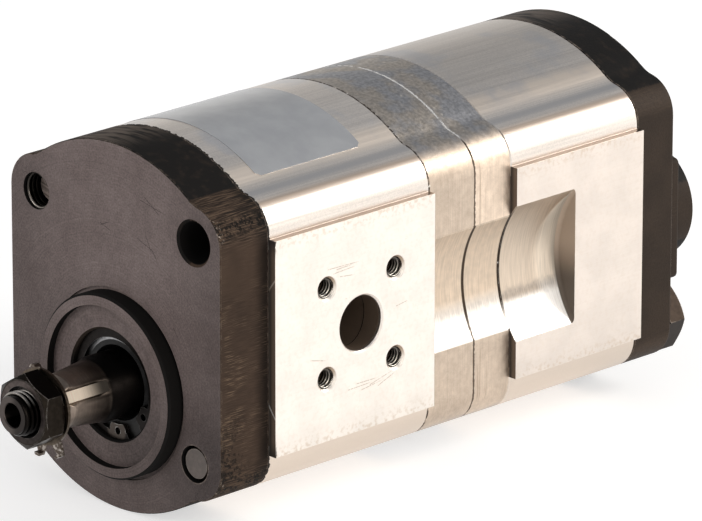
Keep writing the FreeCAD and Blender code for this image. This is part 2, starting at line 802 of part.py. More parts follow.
def circlip():
    """Internal circlip: a tapering band that ends in two ears with plier holes."""
    outer = seal_bore_diameter / 2 + circlip_seat - circlip_gap
    ear_inner = outer - circlip_ear_reach
    band_shift = (circlip_band - circlip_ear_reach / 2) / 2
    inner = outer - circlip_band + band_shift
    lean = math.radians(circlip_gap_angle)
    hollow = rod(inner, circlip_front, circlip_back,
                 band_shift * math.cos(lean), band_shift * math.sin(lean))
    band = rod(outer, circlip_front, circlip_back).cut(hollow)
    hole_radius = outer - circlip_ear_reach / 2 - circlip_hole / 4
    shape = band
    holes = []
    for side in (-1, 1):
        angle = math.radians(circlip_gap_angle + side * circlip_ear_angle)
        x = hole_radius * math.cos(angle)
        z = hole_radius * math.sin(angle)
        ear = rod(circlip_ear_width / 2, circlip_front, circlip_back, x, z)
        shape = shape.fuse(ear.common(ring(outer, ear_inner, circlip_front, circlip_back)))
        holes.append(rod(circlip_hole / 2, circlip_front, circlip_back, x, z))
    gap_half = hole_radius * math.sin(math.radians(circlip_ear_angle)) - circlip_ear_width / 2
    opening = block_of(0, outer + fuse_overlap, circlip_front, circlip_back, -gap_half, gap_half)
    return shape.cut(holes + [about_y(opening, circlip_gap_angle)]).removeSplitter()


def seal_case():
    """Pressed steel cup of the shaft seal, open towards the gears."""
    outer = seal_bore_diameter / 2
    inner = outer - seal_case_reach
    return turned([
        (circlip_back, outer), (seal_back, outer), (seal_back, outer - seal_sheet),
        (circlip_back + seal_sheet, outer - seal_sheet), (circlip_back + seal_sheet, inner),
        (circlip_back, inner)])


def seal_lip():
    """Rubber lip bonded to the case, with the seat of the garter spring."""
    inner_case = seal_bore_diameter / 2 - seal_case_reach
    mid = (circlip_back + seal_back) / 2
    half = garter_wire / 2
    return turned([
        (circlip_back, inner_case), (circlip_back + seal_sheet, inner_case),
        (circlip_back + seal_sheet, inner_case + seal_sheet),
        (circlip_back + 2 * seal_sheet, inner_case + seal_sheet),
        (mid, spring_seat), (mid + garter_wire, spring_seat),
        (mid + garter_wire, spring_seat + half), (seal_back - half, spring_seat + half),
        (seal_back - half, seal_contact + half), (mid + half, seal_contact),
        (mid - half, seal_contact + half), (circlip_back, seal_contact + garter_wire)])


def garter_spring():
    """Closed coil that presses the lip, drawn as the ring that its turns fill."""
    coil = garter_wire / 2
    centre_y = (circlip_back + seal_back) / 2 + coil
    centre_r = spring_seat + coil
    profile = []
    for step in range(8):
        angle = math.radians(45 * step + 22.5)
        profile.append((centre_y + coil * math.cos(angle), centre_r + coil * math.sin(angle)))
    return turned(profile)


def tie_bolt(corner, recess):
    """Long hex bolt from the rear cover into the tapped hole of the front cover."""
    x, z = bolt_place(corner)
    radius = tie_bolt_diameter / 2
    shank = turned([
        (recess, 0), (recess, radius - tie_bolt_chamfer), (recess + tie_bolt_chamfer, radius),
        (cover_end, radius), (cover_end, 0)])
    head_end = cover_end + tie_head_height
    corner_radius = hex_corner(tie_head_across)
    crown = tie_head_across / 2 * tie_head_face_share
    slope = (corner_radius - crown) * math.tan(math.radians(hex_chamfer_angle))
    barrel = turned([
        (cover_end, 0), (cover_end, corner_radius), (head_end - slope, corner_radius),
        (head_end, crown), (head_end, 0)])
    head = hex_prism(tie_head_across, cover_end, head_end, tie_head_phase).common(barrel)
    bolt = shank.fuse(head)
    bolt.translate(at(x, 0, z))
    return bolt


def dowels():
    """Solid dowel pins, two across each joint between sections."""
    half = dowel_length / 2
    joints = (front_body_start, front_body_end, front_plate_end, rear_plate_end, rear_body_end)
    return [rod(dowel_diameter / 2, y - half, y + half, x, z) for y in joints for x, z in dowel_places()]


def save_stage(stage, body_from, gear_from, gear_to, body_to):
    """Driven gear, bearing blocks, bushes and their seals of one stage."""
    save(stage + "_driven_gear",
         driven_gear(gear_from, gear_to, body_from + shaft_end_gap, body_to - shaft_end_gap))
    front_to = gear_from - face_gap
    rear_from = gear_to + face_gap
    save(stage + "_front_bearing_block", bearing_block(body_from, front_to, 1))
    save(stage + "_rear_bearing_block", bearing_block(rear_from, body_to, -1))
    save(stage + "_front_bushes", *bushes(body_from, front_to))
    save(stage + "_rear_bushes", *bushes(rear_from, body_to))
    seals = {"_front_block_seal": (body_from, body_from + block_seal_depth),
             "_rear_block_seal": (body_to - block_seal_depth, body_to)}
    for name, span in seals.items():
        save(stage + name, block_seal(*span))
    section_seals = {"_front_section_seal": (body_from, body_from + section_seal_depth),
                     "_rear_section_seal": (body_to - section_seal_depth, body_to)}
    for name, span in section_seals.items():
        save(stage + name, figure_eight_ring(section_seal_outer, section_seal_inner, *span))


os.makedirs("parts", exist_ok=True)

save("front_cover", front_cover())
save("front_body", front_body())
save("front_plate", front_plate())
save("rear_plate", rear_plate())
save("rear_body", rear_body())
save("rear_cover", rear_cover())
save("tie_bolt_lower", tie_bolt(tie_corners["lower"], lower_bolt_recess))
save("tie_bolt_upper", tie_bolt(tie_corners["upper"], upper_bolt_recess))
save("dowel_pins", *dowels())
save("seal_circlip", circlip())
save("seal_case", seal_case())
save("seal_lip", seal_lip())
save("garter_spring", garter_spring())
save("plate_seal", plate_seal())
save("outlet_seal", outlet_seal())
save("drive_shaft_front", drive_shaft_front())
save("woodruff_key", woodruff_key())
save("tab_washer", tab_washer())
save("shaft_nut", shaft_nut())
save("drive_coupling", drive_coupling())
save("drive_shaft_rear", drive_shaft_rear())
save_stage("front_stage", front_body_start, front_gear_start, front_gear_end, front_body_end)
save_stage("rear_stage", rear_plate_end, rear_gear_start, rear_gear_end, rear_body_end)
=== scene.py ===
import json
import math

import bmesh
import bpy
import mathutils
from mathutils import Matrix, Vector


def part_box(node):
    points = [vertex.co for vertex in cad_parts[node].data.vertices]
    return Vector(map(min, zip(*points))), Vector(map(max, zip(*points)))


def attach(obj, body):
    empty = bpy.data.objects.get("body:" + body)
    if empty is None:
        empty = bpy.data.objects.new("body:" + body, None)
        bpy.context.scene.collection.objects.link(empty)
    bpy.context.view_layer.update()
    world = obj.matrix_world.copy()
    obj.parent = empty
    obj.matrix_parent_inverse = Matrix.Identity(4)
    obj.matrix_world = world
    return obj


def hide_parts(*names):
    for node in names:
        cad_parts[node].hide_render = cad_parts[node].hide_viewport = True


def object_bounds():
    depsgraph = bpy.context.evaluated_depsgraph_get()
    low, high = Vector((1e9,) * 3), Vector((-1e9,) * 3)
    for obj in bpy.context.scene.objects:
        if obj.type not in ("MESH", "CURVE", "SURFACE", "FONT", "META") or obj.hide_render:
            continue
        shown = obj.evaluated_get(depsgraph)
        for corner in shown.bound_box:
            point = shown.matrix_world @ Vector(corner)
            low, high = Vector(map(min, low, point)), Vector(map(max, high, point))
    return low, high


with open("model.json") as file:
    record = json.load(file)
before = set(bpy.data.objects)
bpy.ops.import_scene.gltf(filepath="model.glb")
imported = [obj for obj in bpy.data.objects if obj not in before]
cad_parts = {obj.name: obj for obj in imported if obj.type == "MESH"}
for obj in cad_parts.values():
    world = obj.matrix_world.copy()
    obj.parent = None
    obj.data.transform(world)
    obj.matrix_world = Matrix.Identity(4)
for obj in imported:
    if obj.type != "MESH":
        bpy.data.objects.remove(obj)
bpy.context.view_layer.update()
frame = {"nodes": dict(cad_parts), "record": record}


# Front cover: the mounting flange, cast iron, faced on a lathe round the shaft axis and coated dark.
# Its crown is painted near black as shade, its flat sides and bolt corners brown as painted warm light.
class Value:
    """What a node puts out. Arithmetic on it adds Math nodes to the same tree."""

    def __init__(self, socket):
        self.socket = socket
        self.tree = socket.id_data

    def __abs__(self):
        return calculate("ABSOLUTE", self)

    def __add__(self, other):
        return calculate("ADD", self, other)

    def __sub__(self, other):
        return calculate("SUBTRACT", self, other)

    def __rsub__(self, other):
        return calculate("SUBTRACT", other, self)

    def __mul__(self, other):
        return calculate("MULTIPLY", self, other)

    def __truediv__(self, other):
        return calculate("DIVIDE", self, other)

    __radd__ = __add__
    __rmul__ = __mul__


def node(kind, inputs, tree=None, **settings):
    """A node with its settings and inputs, in the tree that its inputs come from: what it puts out."""
    if tree is None:
        tree = next(value.tree for value in inputs.values() if isinstance(value, Value))
    made = tree.nodes.new(kind)
    for name, value in settings.items():
        setattr(made, name, value)
    for name, value in inputs.items():
        if isinstance(value, Value):
            tree.links.new(value.socket, made.inputs[name])
        else:
            made.inputs[name].default_value = value
    sockets = enumerate(made.outputs)
    return {key: Value(socket) for number, socket in sockets for key in (number, socket.name)}


def calculate(operation, *values, clamp=False):
    """The result of one Math node."""
    return node("ShaderNodeMath", dict(enumerate(values)), operation=operation, use_clamp=clamp)[0]


def highest(first, *others):
    """The highest of some values or masks."""
    for other in others:
        first = calculate("MAXIMUM", first, other)
    return first


def ramp(value, low, high, to_low=0.0, to_high=1.0):
    """A value taken from one range to another, smoothly and within it."""
    ranges = {"Value": value, "From Min": low, "From Max": high, "To Min": to_low, "To Max": to_high}
    return node("ShaderNodeMapRange", ranges, interpolation_type="SMOOTHSTEP")[0]


def band(value, middle, reach, soft):
    """One near a middle value, nought beyond its reach, with soft borders."""
    return ramp(abs(value - middle), reach + soft, reach - soft)


def rgb(red, green, blue):
    """A colour as it looks on a screen, from 0 to 255, as the linear values that sockets take."""
    shares = [part / 255 for part in (red, green, blue)]
    return *(((share + 0.055) / 1.055) ** 2.4 if share > 0.04 else share / 12.92 for share in shares), 1.0


def blend(share, first, second):
    """Two colours mixed by a share."""
    return node("ShaderNodeMix", {0: share, 6: first, 7: second}, data_type="RGBA")[2]


def dim(colour, tone):
    """A colour made darker or lighter by a tone."""
    base = colour if isinstance(colour, Value) else colour[:3]
    return node("ShaderNodeVectorMath", {0: base, "Scale": tone}, operation="SCALE")[0]


def toned(colour, value, low, high, tone_low, tone_high):
    """A colour whose tone runs from one to another while a value goes from low to high."""
    return dim(colour, ramp(value, low, high, tone_low, tone_high))


def parts(vector):
    """The three parts of a vector."""
    split = node("ShaderNodeSeparateXYZ", {0: vector})
    return split[0], split[1], split[2]


def vector_of(x, y, z):
    """A vector put together from three values."""
    return node("ShaderNodeCombineXYZ", {0: x, 1: y, 2: z})[0]


def stretched(place, way):
    """A place multiplied by a way: small along the lines in which a pattern is drawn out."""
    return node("ShaderNodeMapping", {"Vector": place, "Scale": way})[0]


def noise(place, scale, detail=3.0):
    """Soft noise between nought and one, its scale in cells for each millimetre."""
    return node("ShaderNodeTexNoise", {"Vector": place, "Scale": scale, "Detail": detail})[0]


def from_axis(across, along, middle_across=0.0, middle_along=0.0):
    """Distance from an axis, given the two coordinates that lie square to it."""
    flat = vector_of(across - middle_across, along - middle_along, 0.0)
    return node("ShaderNodeVectorMath", {0: flat}, operation="LENGTH")["Value"]


def finish(name, roughness, metallic=0.0, specular=0.5):
    """A new material and the place on it in millimetres."""
    made = bpy.data.materials.new(name)
    made.use_nodes = True
    skin = made.node_tree.nodes["Principled BSDF"].inputs
    skin["Roughness"].default_value = roughness
    skin["Metallic"].default_value = metallic
    skin["Specular IOR Level"].default_value = specular
    here = node("ShaderNodeTexCoord", {}, made.node_tree)["Object"]
    return made, node("ShaderNodeVectorMath", {0: here, "Scale": 1000.0}, operation="SCALE")[0]


def normal_parts(tree):
    """The three parts of the surface's own normal."""
    return parts(node("ShaderNodeTexCoord", {}, tree)["Normal"])


def finished(made, colour, relief=None, **others):
    """The material with its colour, its relief in millimetres and other inputs linked."""
    sockets = {"Base Color": colour}
    if relief is not None:
        bump = {"Height": relief, "Distance": 0.001, "Strength": 0.8}
        sockets["Normal"] = node("ShaderNodeBump", bump)[0]
    sockets.update({name.capitalize(): value for name, value in others.items()})
    for name, value in sockets.items():
        made.node_tree.links.new(value.socket, made.node_tree.nodes["Principled BSDF"].inputs[name])
    return made


def effect_group(name, results, **sizes):
    """A group for an effect that several finishes share: the place and the sizes that it is given."""
    tree = bpy.data.node_groups.new(name, "ShaderNodeTree")
    tree.interface.new_socket("Place", in_out="INPUT", socket_type="NodeSocketVector")
    for size, value in sizes.items():
        made = tree.interface.new_socket(size.capitalize(), in_out="INPUT", socket_type="NodeSocketFloat")
        made.default_value = value
    for result in results:
        tree.interface.new_socket(result.capitalize(), in_out="OUTPUT", socket_type="NodeSocketFloat")
    given = tree.nodes.new("NodeGroupInput").outputs
    return [Value(given[socket.capitalize()]) for socket in ("place", *sizes)]


def put_out(**results):
    """Link a group's results to its outputs, and give back the group."""
    tree = next(iter(results.values())).tree
    ends = tree.nodes.new("NodeGroupOutput").inputs
    for name, value in results.items():
        tree.links.new(value.socket, ends[name.capitalize()])
    return tree


def use_group(group, **inputs):
    """What a shared effect gives a finish, its inputs given by name: one value, or several by name."""
    given = {name.capitalize(): value for name, value in inputs.items()}
    made = node("ShaderNodeGroup", given, node_tree=group)
    return made if 1 in made else made[0]


def turning_marks_group():
    """Fine grooves left by a lathe: noise that depends only on the distance from an axis along Y."""
    place, pitch = effect_group("turning_marks", ["tone"], pitch=0.5)
    x, z = parts(place)[::2]
    turns = (from_axis(x, z) + noise(place, 0.12)) / pitch
    rings = node("ShaderNodeTexNoise", {"W": turns, "Scale": 1.0, "Detail": 3.0}, noise_dimensions="1D")[0]
    return put_out(tone=rings * ramp(noise(place, 0.35, 2.0), 0.3, 0.7, 0.5, 1.0))


def specks_group():
    """Small round pits or grains: the middles of some cells, picked by chance."""
    place, spacing, size, share = effect_group("specks", ["mask"], spacing=3.0, size=0.3, share=0.3)
    spread = dim(place, calculate("DIVIDE", 1.0, spacing))
    cells = node("ShaderNodeTexVoronoi", {"Vector": spread, "Scale": 1.0})
    inside = ramp(cells["Distance"] + noise(spread, 4.0, 2.0) * 0.15, size, size * 0.6)
    return put_out(mask=inside * calculate("LESS_THAN", parts(cells["Color"])[0], share))


def drawn_out(place, length, width):
    """A place in which a pattern is drawn out along X, its cells a length long and a width wide."""
    x, y, z = parts(place)
    return vector_of(x / length, y / width, z / width)


def scratches_group():
    """Thin straight scratches: narrow cells drawn out along X of the place given, some of them picked."""
    place, length, spacing, width, share = effect_group(
        "scratches", ["mask"], length=12.0, spacing=1.0, width=0.06, share=0.2)
    cells = node("ShaderNodeTexVoronoi", {"Vector": drawn_out(place, length, spacing), "Scale": 1.0})
    inside = ramp(cells["Distance"], width * 3.0, width)
    return put_out(mask=inside * calculate("LESS_THAN", parts(cells["Color"])[0], share))


def streaks_group():
    """Brushed or drawn metal: fine noise drawn out along X of the place given."""
    place, length, width = effect_group("streaks", ["tone"], length=40.0, width=0.5)
    return put_out(tone=noise(drawn_out(place, length, width), 1.0, 4.0))


def edge_wear_and_highlight_group():
    """Where an outer edge is lightened, partly by wear and partly as painted edge highlight: the rounded
    normal leaves the true one, broken up by noise.
    """
    place, width = effect_group("worn_edges", ["mask"], width=0.4)
    flat = node("ShaderNodeNewGeometry", {}, place.tree)["Normal"]
    rounded = node("ShaderNodeBevel", {"Radius": width / 1000.0}, samples=6)[0]
    agree = node("ShaderNodeVectorMath", {0: rounded, 1: flat}, operation="DOT_PRODUCT")["Value"]
    return put_out(mask=ramp(agree, 0.995, 0.93) * ramp(noise(place, 0.6), 0.36, 0.68))


turning_marks = turning_marks_group()
specks = specks_group()
scratches = scratches_group()
streaks = streaks_group()
worn_edges = edge_wear_and_highlight_group()

bolt_centre_z = 15.5
bolt_half_square = 30.0
face_strokes = [((8.7, 41.8), (16.3, 39.1)), ((12.0, 43.2), (14.4, 38.6)), ((14.0, 40.2), (16.8, 36.8)),
                ((-5.4, 42.8), (-0.8, 41.2)), ((-5.2, 42.2), (-1.6, 43.8)), ((10.0, 52.4), (19.4, 50.6)),
                ((11.5, 53.6), (18.0, 49.4)), ((22.0, 21.0), (24.2, 18.2)), ((-12.0, 8.0), (-9.0, 9.2))]


def scratched(across, up, strokes, width):
    """Where a flat face carries single scratches from one place to another, thinner towards their ends."""
    marks = 0.0
    for start, end in strokes:
        run_across = end[0] - start[0]
        run_up = end[1] - start[1]
        length = math.hypot(run_across, run_up)
        from_start = across - start[0]
        above_start = up - start[1]
        along = from_start * (run_across / length ** 2) + above_start * (run_up / length ** 2)
        away = abs(above_start * (run_across / length) - from_start * (run_up / length))
        reach = ramp(along, -0.02, 0.02) * ramp(along, 1.02, 0.7)
        marks = highest(marks, reach * ramp(away, width, width * 0.4))
    return marks


def cover_paint(name, faced, side_colour, fade_start, black_to):
    """Dark matt coating over cast iron. A faced cover has lathe marks and, on its rim, tool marks."""
    made, place = finish(name, 0.6, specular=0.15)
    x, y, z = parts(place)
    facing = normal_parts(place.tree)[1]
    tooled = 1.0 if faced else 0.12
    clouds = noise(place, 0.07)
    grain = noise(place, 1.6, 5.0)
    width = abs(x) + grain * 0.8
    height = abs(z - bolt_centre_z)
    on_side = ramp(width, black_to, black_to + 1.0)
    corner = ramp(width, black_to + 0.2, black_to + 1.0) * ramp(height, 28.0, 34.0)
    jag = noise(place, 1.3, 4.0) - 0.5
    torn = vector_of(jag * 2.4 + x, jag * -3.2 + y, jag * 2.8 + z)
    low_corner = ramp(z, 8.0, -14.0, 0.0, 0.9) * ramp(y, 12.0, 4.0)
    low_corner = low_corner * ramp(noise(place, 0.16, 2.0), 0.4, 0.52)
    pits = use_group(specks, place=torn, spacing=1.15, size=0.72, share=0.75)
    pits = pits * highest(band(height, 35.0, 2.0, 1.4), low_corner) * on_side * tooled
    chips = use_group(specks, place=torn, spacing=0.9, size=0.5, share=0.5)
    chips = chips * ramp(y, 2.2, 0.4) * band(height, 35.0, 2.4, 1.4) * on_side * tooled
    tooling = use_group(streaks, place=vector_of(y, x, z), length=4.8, width=0.2)
    calm = ramp(band(z, 39.0, 6.0, 4.0), 0.0, 1.0, 1.0, 0.35) * tooled
    lines = ramp(tooling, 0.54, 0.42) * calm
    bright = ramp(tooling, 0.5, 0.68) * highest(ramp(noise(place, 0.13), 0.42, 0.6), corner) * calm

    rim = toned(side_colour, clouds, 0.3, 0.7, 0.84, 1.16)
    # Painted shade: the rim side darkens towards its rear edge next to the body.
    rim = toned(rim, y, fade_start, fade_start + 5.0, 1.0, 0.3)
    # Painted highlight: the bolt-corner band of the rim is lighter, strongly on the rear cover.
    rim = toned(rim, band(height, 35.0, 2.5, 2.5), 0.0, 1.0, 1.0, 1.1 if faced else 1.7)
    rim = blend(lines * ramp(corner, 0.0, 1.0, 0.3, 0.8), rim, rgb(16, 13, 11))
    rubbed = band(z, 10.0, 20.0, 8.0) * ramp(y, 11.0, 5.0)
    rubbed_tone = blend(rubbed, rgb(104, 87, 71), rgb(146, 124, 102))
    rim = blend(bright * ramp(corner, 0.0, 1.0, 0.45, 0.6), rim, rubbed_tone)
    # Painted sheen: a lighter grey streak on the left of the crown.
    painted_sheen = ramp(noise(stretched(place, (0.12, 1.0, 0.12)), 0.7), 0.38, 0.6) * ramp(x, 8.0, -10.0)
    painted_sheen = painted_sheen * ramp(abs(facing), 0.9, 0.5) * ramp(height, 30.0, 40.0)
    rusty = ramp(noise(place, 0.3, 5.0), 0.48, 0.8)
    black = blend(rusty * 0.8, rgb(16, 14, 13), rgb(42, 34, 28))
    black = blend(painted_sheen * 0.9, black, rgb(98, 88, 80))
    # Crown near black and sides brown: painted shade on the crown and painted warm light on the sides,
    # over a dark coat with rust spots.
    rim = blend(ramp(width, black_to + 0.7, black_to + 0.1), rim, black)
    rim = blend(pits * 0.9, rim, rgb(8, 7, 6))
    rim = blend(chips, rim, rgb(190, 178, 166))
    wear_and_highlight = use_group(worn_edges, place=place, width=0.6)
    if faced:
        front = ramp(facing, -0.9, -0.99)
        marks = use_group(turning_marks, place=place, pitch=0.45)
        colour = blend(front, rim, faced_iron(place, clouds, grain, marks))
        shaft_radius = from_axis(x, z)
        # Painted shade: the shaft bore and the walls of the bolt holes are painted near black.
        bore = ramp(shaft_radius, 27.0, 26.5) * ramp(facing, -0.96, -0.8)
        sharp = ramp(shaft_radius, 24.0, 31.0, 0.25, 1.0)
        for side in (-bolt_half_square, bolt_half_square):
            for high in (-bolt_half_square, bolt_half_square):
                off_hole = from_axis(x, z, side, bolt_centre_z + high)
                bore = highest(bore, ramp(off_hole, 7.2, 7.0) * ramp(facing, -0.6, -0.4))
                if high > 0:
                    sharp = sharp * ramp(off_hole, 7.4, 7.8)
        # Painted light: the upper steps inside the bore are a lighter brown.
        steps = ramp(shaft_radius, 19.0, 18.5) * ramp(z, 2.0, 9.0)
        colour = blend(bore, colour, blend(steps, rgb(13, 11, 10), rgb(52, 44, 38)))
        wear_and_highlight = wear_and_highlight * sharp * (1.0 - bore)
        relief = marks * front
        others = {"roughness": ramp(front, 0.0, 1.0, 0.82, 0.5)}
    else:
        colour = toned(rim, grain, 0.2, 0.8, 0.86, 1.14)
        relief = grain * 2.0
        others = {}
    # Edges lightened: partly wear, partly painted edge highlight.
    colour = blend(wear_and_highlight * 0.85, colour, rgb(158, 144, 132))
    return finished(made, colour, relief * 0.02 + grain * 0.03 - pits * 0.2, **others)


def faced_iron(place, clouds, grain, marks):
    """The turned front face: lathe marks, a few single scratches and dust, darker towards its sides."""
    x, z = parts(place)[::2]
    dust = use_group(specks, place=place, spacing=4.5, size=0.06, share=0.35)
    fan = scratched(x, z, face_strokes, 0.14) * ramp(grain, 0.3, 0.5)
    face = blend(ramp(clouds, 0.3, 0.7), rgb(97, 86, 84), rgb(107, 96, 94))
    face = toned(face, x, -10.0, -42.0, 1.12, 0.84)
    face = toned(face, x, 14.0, 40.0, 1.12, 0.8)
    face = toned(face, z, -28.0, 36.0, 0.8, 1.03)
    face = toned(face, ramp(x, 12.0, 28.0) * ramp(z, 8.0, -14.0), 0.0, 1.0, 1.0, 0.72)
    face = toned(face, noise(place, 1.9), 0.28, 0.72, 0.8, 1.2)
    face = dim(face, marks * 0.5 + 0.75)
    face = blend(fan * 0.75, face, rgb(46, 39, 36))
    return blend(dust * 0.7, face, rgb(190, 180, 172))


def coat(material, *names):
    """Give nodes of the frame their finish."""
    for name in names:
        slots = frame["nodes"][name].data.materials
        slots.clear()
        slots.append(material)


coat(cover_paint("front_cover_paint", True, rgb(62, 49, 40), 11.0, 28.5), "front_cover")


# Tapped holes of the front cover: the two tie bolts screw in from behind, and their threads show
# in front of the bolt ends. The crests are a helical ridge in the cover's own iron, with a painted
# highlight where they face up near the mouth and painted shade further in.
def bare_steel(name, colour, roughness, dark_share=0.35, way=(1.0, 1.0, 1.0)):
    """Bare or blackened steel: streaks drawn out where way is small, dark stains, and edges lightened by
    wear and painted highlight.
    """
    made, place = finish(name, roughness, 1.0)
    drawn = noise(stretched(place, way), 1.8, 4.0)
    wear_and_highlight = use_group(worn_edges, place=place, width=0.3)
    tone = toned(colour, drawn, 0.25, 0.75, 0.84, 1.16)
    tone = toned(tone, noise(place, 0.3), 0.4, 0.7, 1.0, 1.0 - dark_share)
    tone = blend(wear_and_highlight * 0.35, tone, rgb(186, 178, 168))
    rough = ramp(drawn, 0.2, 0.8, roughness * 0.8, roughness * 1.25)
    return finished(made, tone, drawn * 0.012, roughness=rough)


def sized_tree(name, **sizes):
    """A geometry tree that places its shape on points: the sockets that it is given, by name."""
    tree = bpy.data.node_groups.new(name, "GeometryNodeTree")
    kinds = {"places": "NodeSocketGeometry", "turned": "NodeSocketRotation",
             "finish": "NodeSocketMaterial"}
    kinds.update({size: "NodeSocketFloat" for size in sizes})
    for key, kind in kinds.items():
        made = tree.interface.new_socket(key.replace("_", " "), in_out="INPUT", socket_type=kind)
        if key in sizes:
            made.default_value = sizes[key]
    tree.interface.new_socket("shape", in_out="OUTPUT", socket_type="NodeSocketGeometry")
    given = tree.nodes.new("NodeGroupInput").outputs
    return {key: Value(given[key.replace("_", " ")]) for key in kinds}


def end_tree(given, shape):
    """Put the shape on every point, make it real and give it its finish."""
    placed = node("GeometryNodeInstanceOnPoints",
                  {"Points": given["places"], "Instance": shape, "Rotation": given["turned"]})[0]
    real = node("GeometryNodeRealizeInstances", {0: placed})[0]
    done = node("GeometryNodeSetMaterial", {"Geometry": real, "Material": given["finish"]})[0]
    done.tree.links.new(done.socket, done.tree.nodes.new("NodeGroupOutput").inputs[0])
    return done.tree


def thread_tree():
    """A right-hand thread ridge along Z that stands off its wall and runs out at its far end."""
    given = sized_tree("thread_ridges", wall_radius=0.005, crest_radius=0.0044, pitch=0.0015, length=0.004,
                       run_out=0.0005)
    wall, pitch, length = given["wall_radius"], given["pitch"], given["length"]
    spiral = node("GeometryNodeCurveSpiral", {
        "Resolution": 40, "Rotations": length / pitch, "Start Radius": wall, "End Radius": wall,
        "Height": length, "Reverse": True})[0]
    upright = node("GeometryNodeSetCurveNormal", {"Curve": spiral}, mode="Z_UP")[0]
    rise = given["crest_radius"] - wall
    corners = ((0.0, pitch * 0.42), (rise, pitch * 0.08), (rise, pitch * -0.08), (0.0, pitch * -0.42))
    points = {"Point " + str(number): vector_of(*corner, 0.0) for number, corner in enumerate(corners, 1)}
    ridge = node("GeometryNodeCurvePrimitiveQuadrilateral", points, mode="POINTS")[0]
    swept = node("GeometryNodeCurveToMesh",
                 {"Curve": upright, "Profile Curve": ridge, "Fill Caps": True})[0]
    x, y, z = parts(node("GeometryNodeInputPosition", {}, swept.tree)[0])
    share = calculate("DIVIDE", length - z, given["run_out"], clamp=True)
    radius = from_axis(x, y)
    drawn_in = ((radius - wall) * share + wall) / radius
    moved = vector_of(x * drawn_in, y * drawn_in, z)
    return end_tree(given, node("GeometryNodeSetPosition", {"Geometry": swept, "Position": moved})[0])


def outward(mesh):
    """Turn the faces of closed shapes outwards."""
    shape = bmesh.new()
    shape.from_mesh(mesh)
    bmesh.ops.remove_doubles(shape, verts=shape.verts, dist=1e-7)
    bmesh.ops.recalc_face_normals(shape, faces=shape.faces)
    shape.to_mesh(mesh)
    shape.free()


def new_object(name, data):
    """An object in the scene."""
    made = bpy.data.objects.new(name, data)
    bpy.context.collection.objects.link(made)
    return made


def make_plain(holder):
    """Give an object the plain mesh that its modifiers make."""
    bpy.context.view_layer.update()
    evaluated = holder.evaluated_get(bpy.context.evaluated_depsgraph_get())
    holder.data = bpy.data.meshes.new_from_object(evaluated)
    holder.modifiers.clear()
    outward(holder.data)


def grown(name, tree, points, **inputs):
    """The plain mesh that a node tree makes from a few points, its modifier inputs given by name."""
    seed = bpy.data.meshes.new(name)
    seed.from_pydata(points, [], [])
    holder = new_object(name, seed)
    modifier = holder.modifiers.new(name, "NODES")
    modifier.node_group = tree
    for socket in tree.interface.items_tree:
        key = socket.name.replace(" ", "_")
        if socket.in_out == "INPUT" and key in inputs:
            modifier[socket.identifier] = inputs[key]
    make_plain(holder)
    return holder


def tapped_iron():
    """Threads cut in a cover: a painted highlight where they face up near the mouth of the hole, painted
    shade further in.
    """
    made, place = finish("tapped_iron", 0.36, 1.0)
    y = parts(place)[1]
    mouth = highest(ramp(y, 2.4, 1.2), ramp(y, 168.0, 176.0))
    bright = mouth * (ramp(normal_parts(place.tree)[2], 0.1, 0.6) * 0.85 + 0.1)
    return finished(made, blend(bright, rgb(22, 20, 18), rgb(168, 160, 152)))


thread_ridges = thread_tree()
thread_finish = tapped_iron()
along_drive = (math.radians(90), 0.0, 0.0)
upper_low, upper_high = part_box("tie_bolt_upper")
upper_end = (upper_low.x + upper_high.x) / 2, upper_low.y, (upper_low.z + upper_high.z) / 2
tapped_wall = 0.00503
tapped_crest = 0.0044
tapped_pitch = 0.0015
tapped_sink = 0.0002
threads = grown("tapped_hole_threads", thread_ridges, [upper_end], wall_radius=tapped_wall,
                crest_radius=tapped_crest, pitch=tapped_pitch, length=upper_low.y - tapped_sink,
                run_out=0.0008, turned=along_drive, finish=thread_finish)
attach(threads, "housing")


# Shaft seal and its circlip: a pressed black case, painted grey along its top as painted light, with a
# nitrile lip, held in the cover's bore by a phosphated spring ring whose left ear is painted lighter as
# painted light. A closed coil of spring wire presses the lip.
def rubber(name):
    """Black nitrile with a faint bloom."""
    made, place = finish(name, 0.55, specular=0.3)
    bloom = ramp(noise(place, 0.5, 4.0), 0.35, 0.75)
    return finished(made, blend(bloom, rgb(14, 14, 15), rgb(34, 33, 33)), noise(place, 5.0) * 0.01)


def ring_steel():
    """Dark phosphated spring steel, painted lighter round the plier hole of one ear as painted light, its
    edges there lighter too.
    """
    made, place = finish("circlip_steel", 0.42, 1.0)
    x, z = parts(place)[::2]
    stains = noise(place, 0.9, 4.0)
    # Painted light: the left ear round its plier hole.
    rubbed = ramp(from_axis(x, z, 0.6, -12.4), 4.0, 3.0)
    wear_and_highlight = use_group(worn_edges, place=place, width=0.25) * ramp(rubbed, 0.0, 1.0, 0.15, 0.8)
    colour = blend(stains, rgb(20, 18, 17), rgb(40, 36, 34))
    colour = blend(rubbed, colour, rgb(76, 69, 64))
    return finished(made, blend(wear_and_highlight, colour, rgb(235, 232, 228)), stains * 0.02)


def case_steel():
    """Pressed steel, painted black below and grey along its upper edge: painted shade below, painted light
    from above.
    """
    made, place = finish("seal_case_steel", 0.38, 0.6)
    stains = noise(place, 0.9, 4.0)
    colour = blend(ramp(parts(place)[2], 5.0, 11.0), rgb(26, 25, 24), rgb(172, 172, 174))
    return finished(made, toned(colour, stains, 0.3, 0.7, 0.8, 1.1), stains * 0.015)


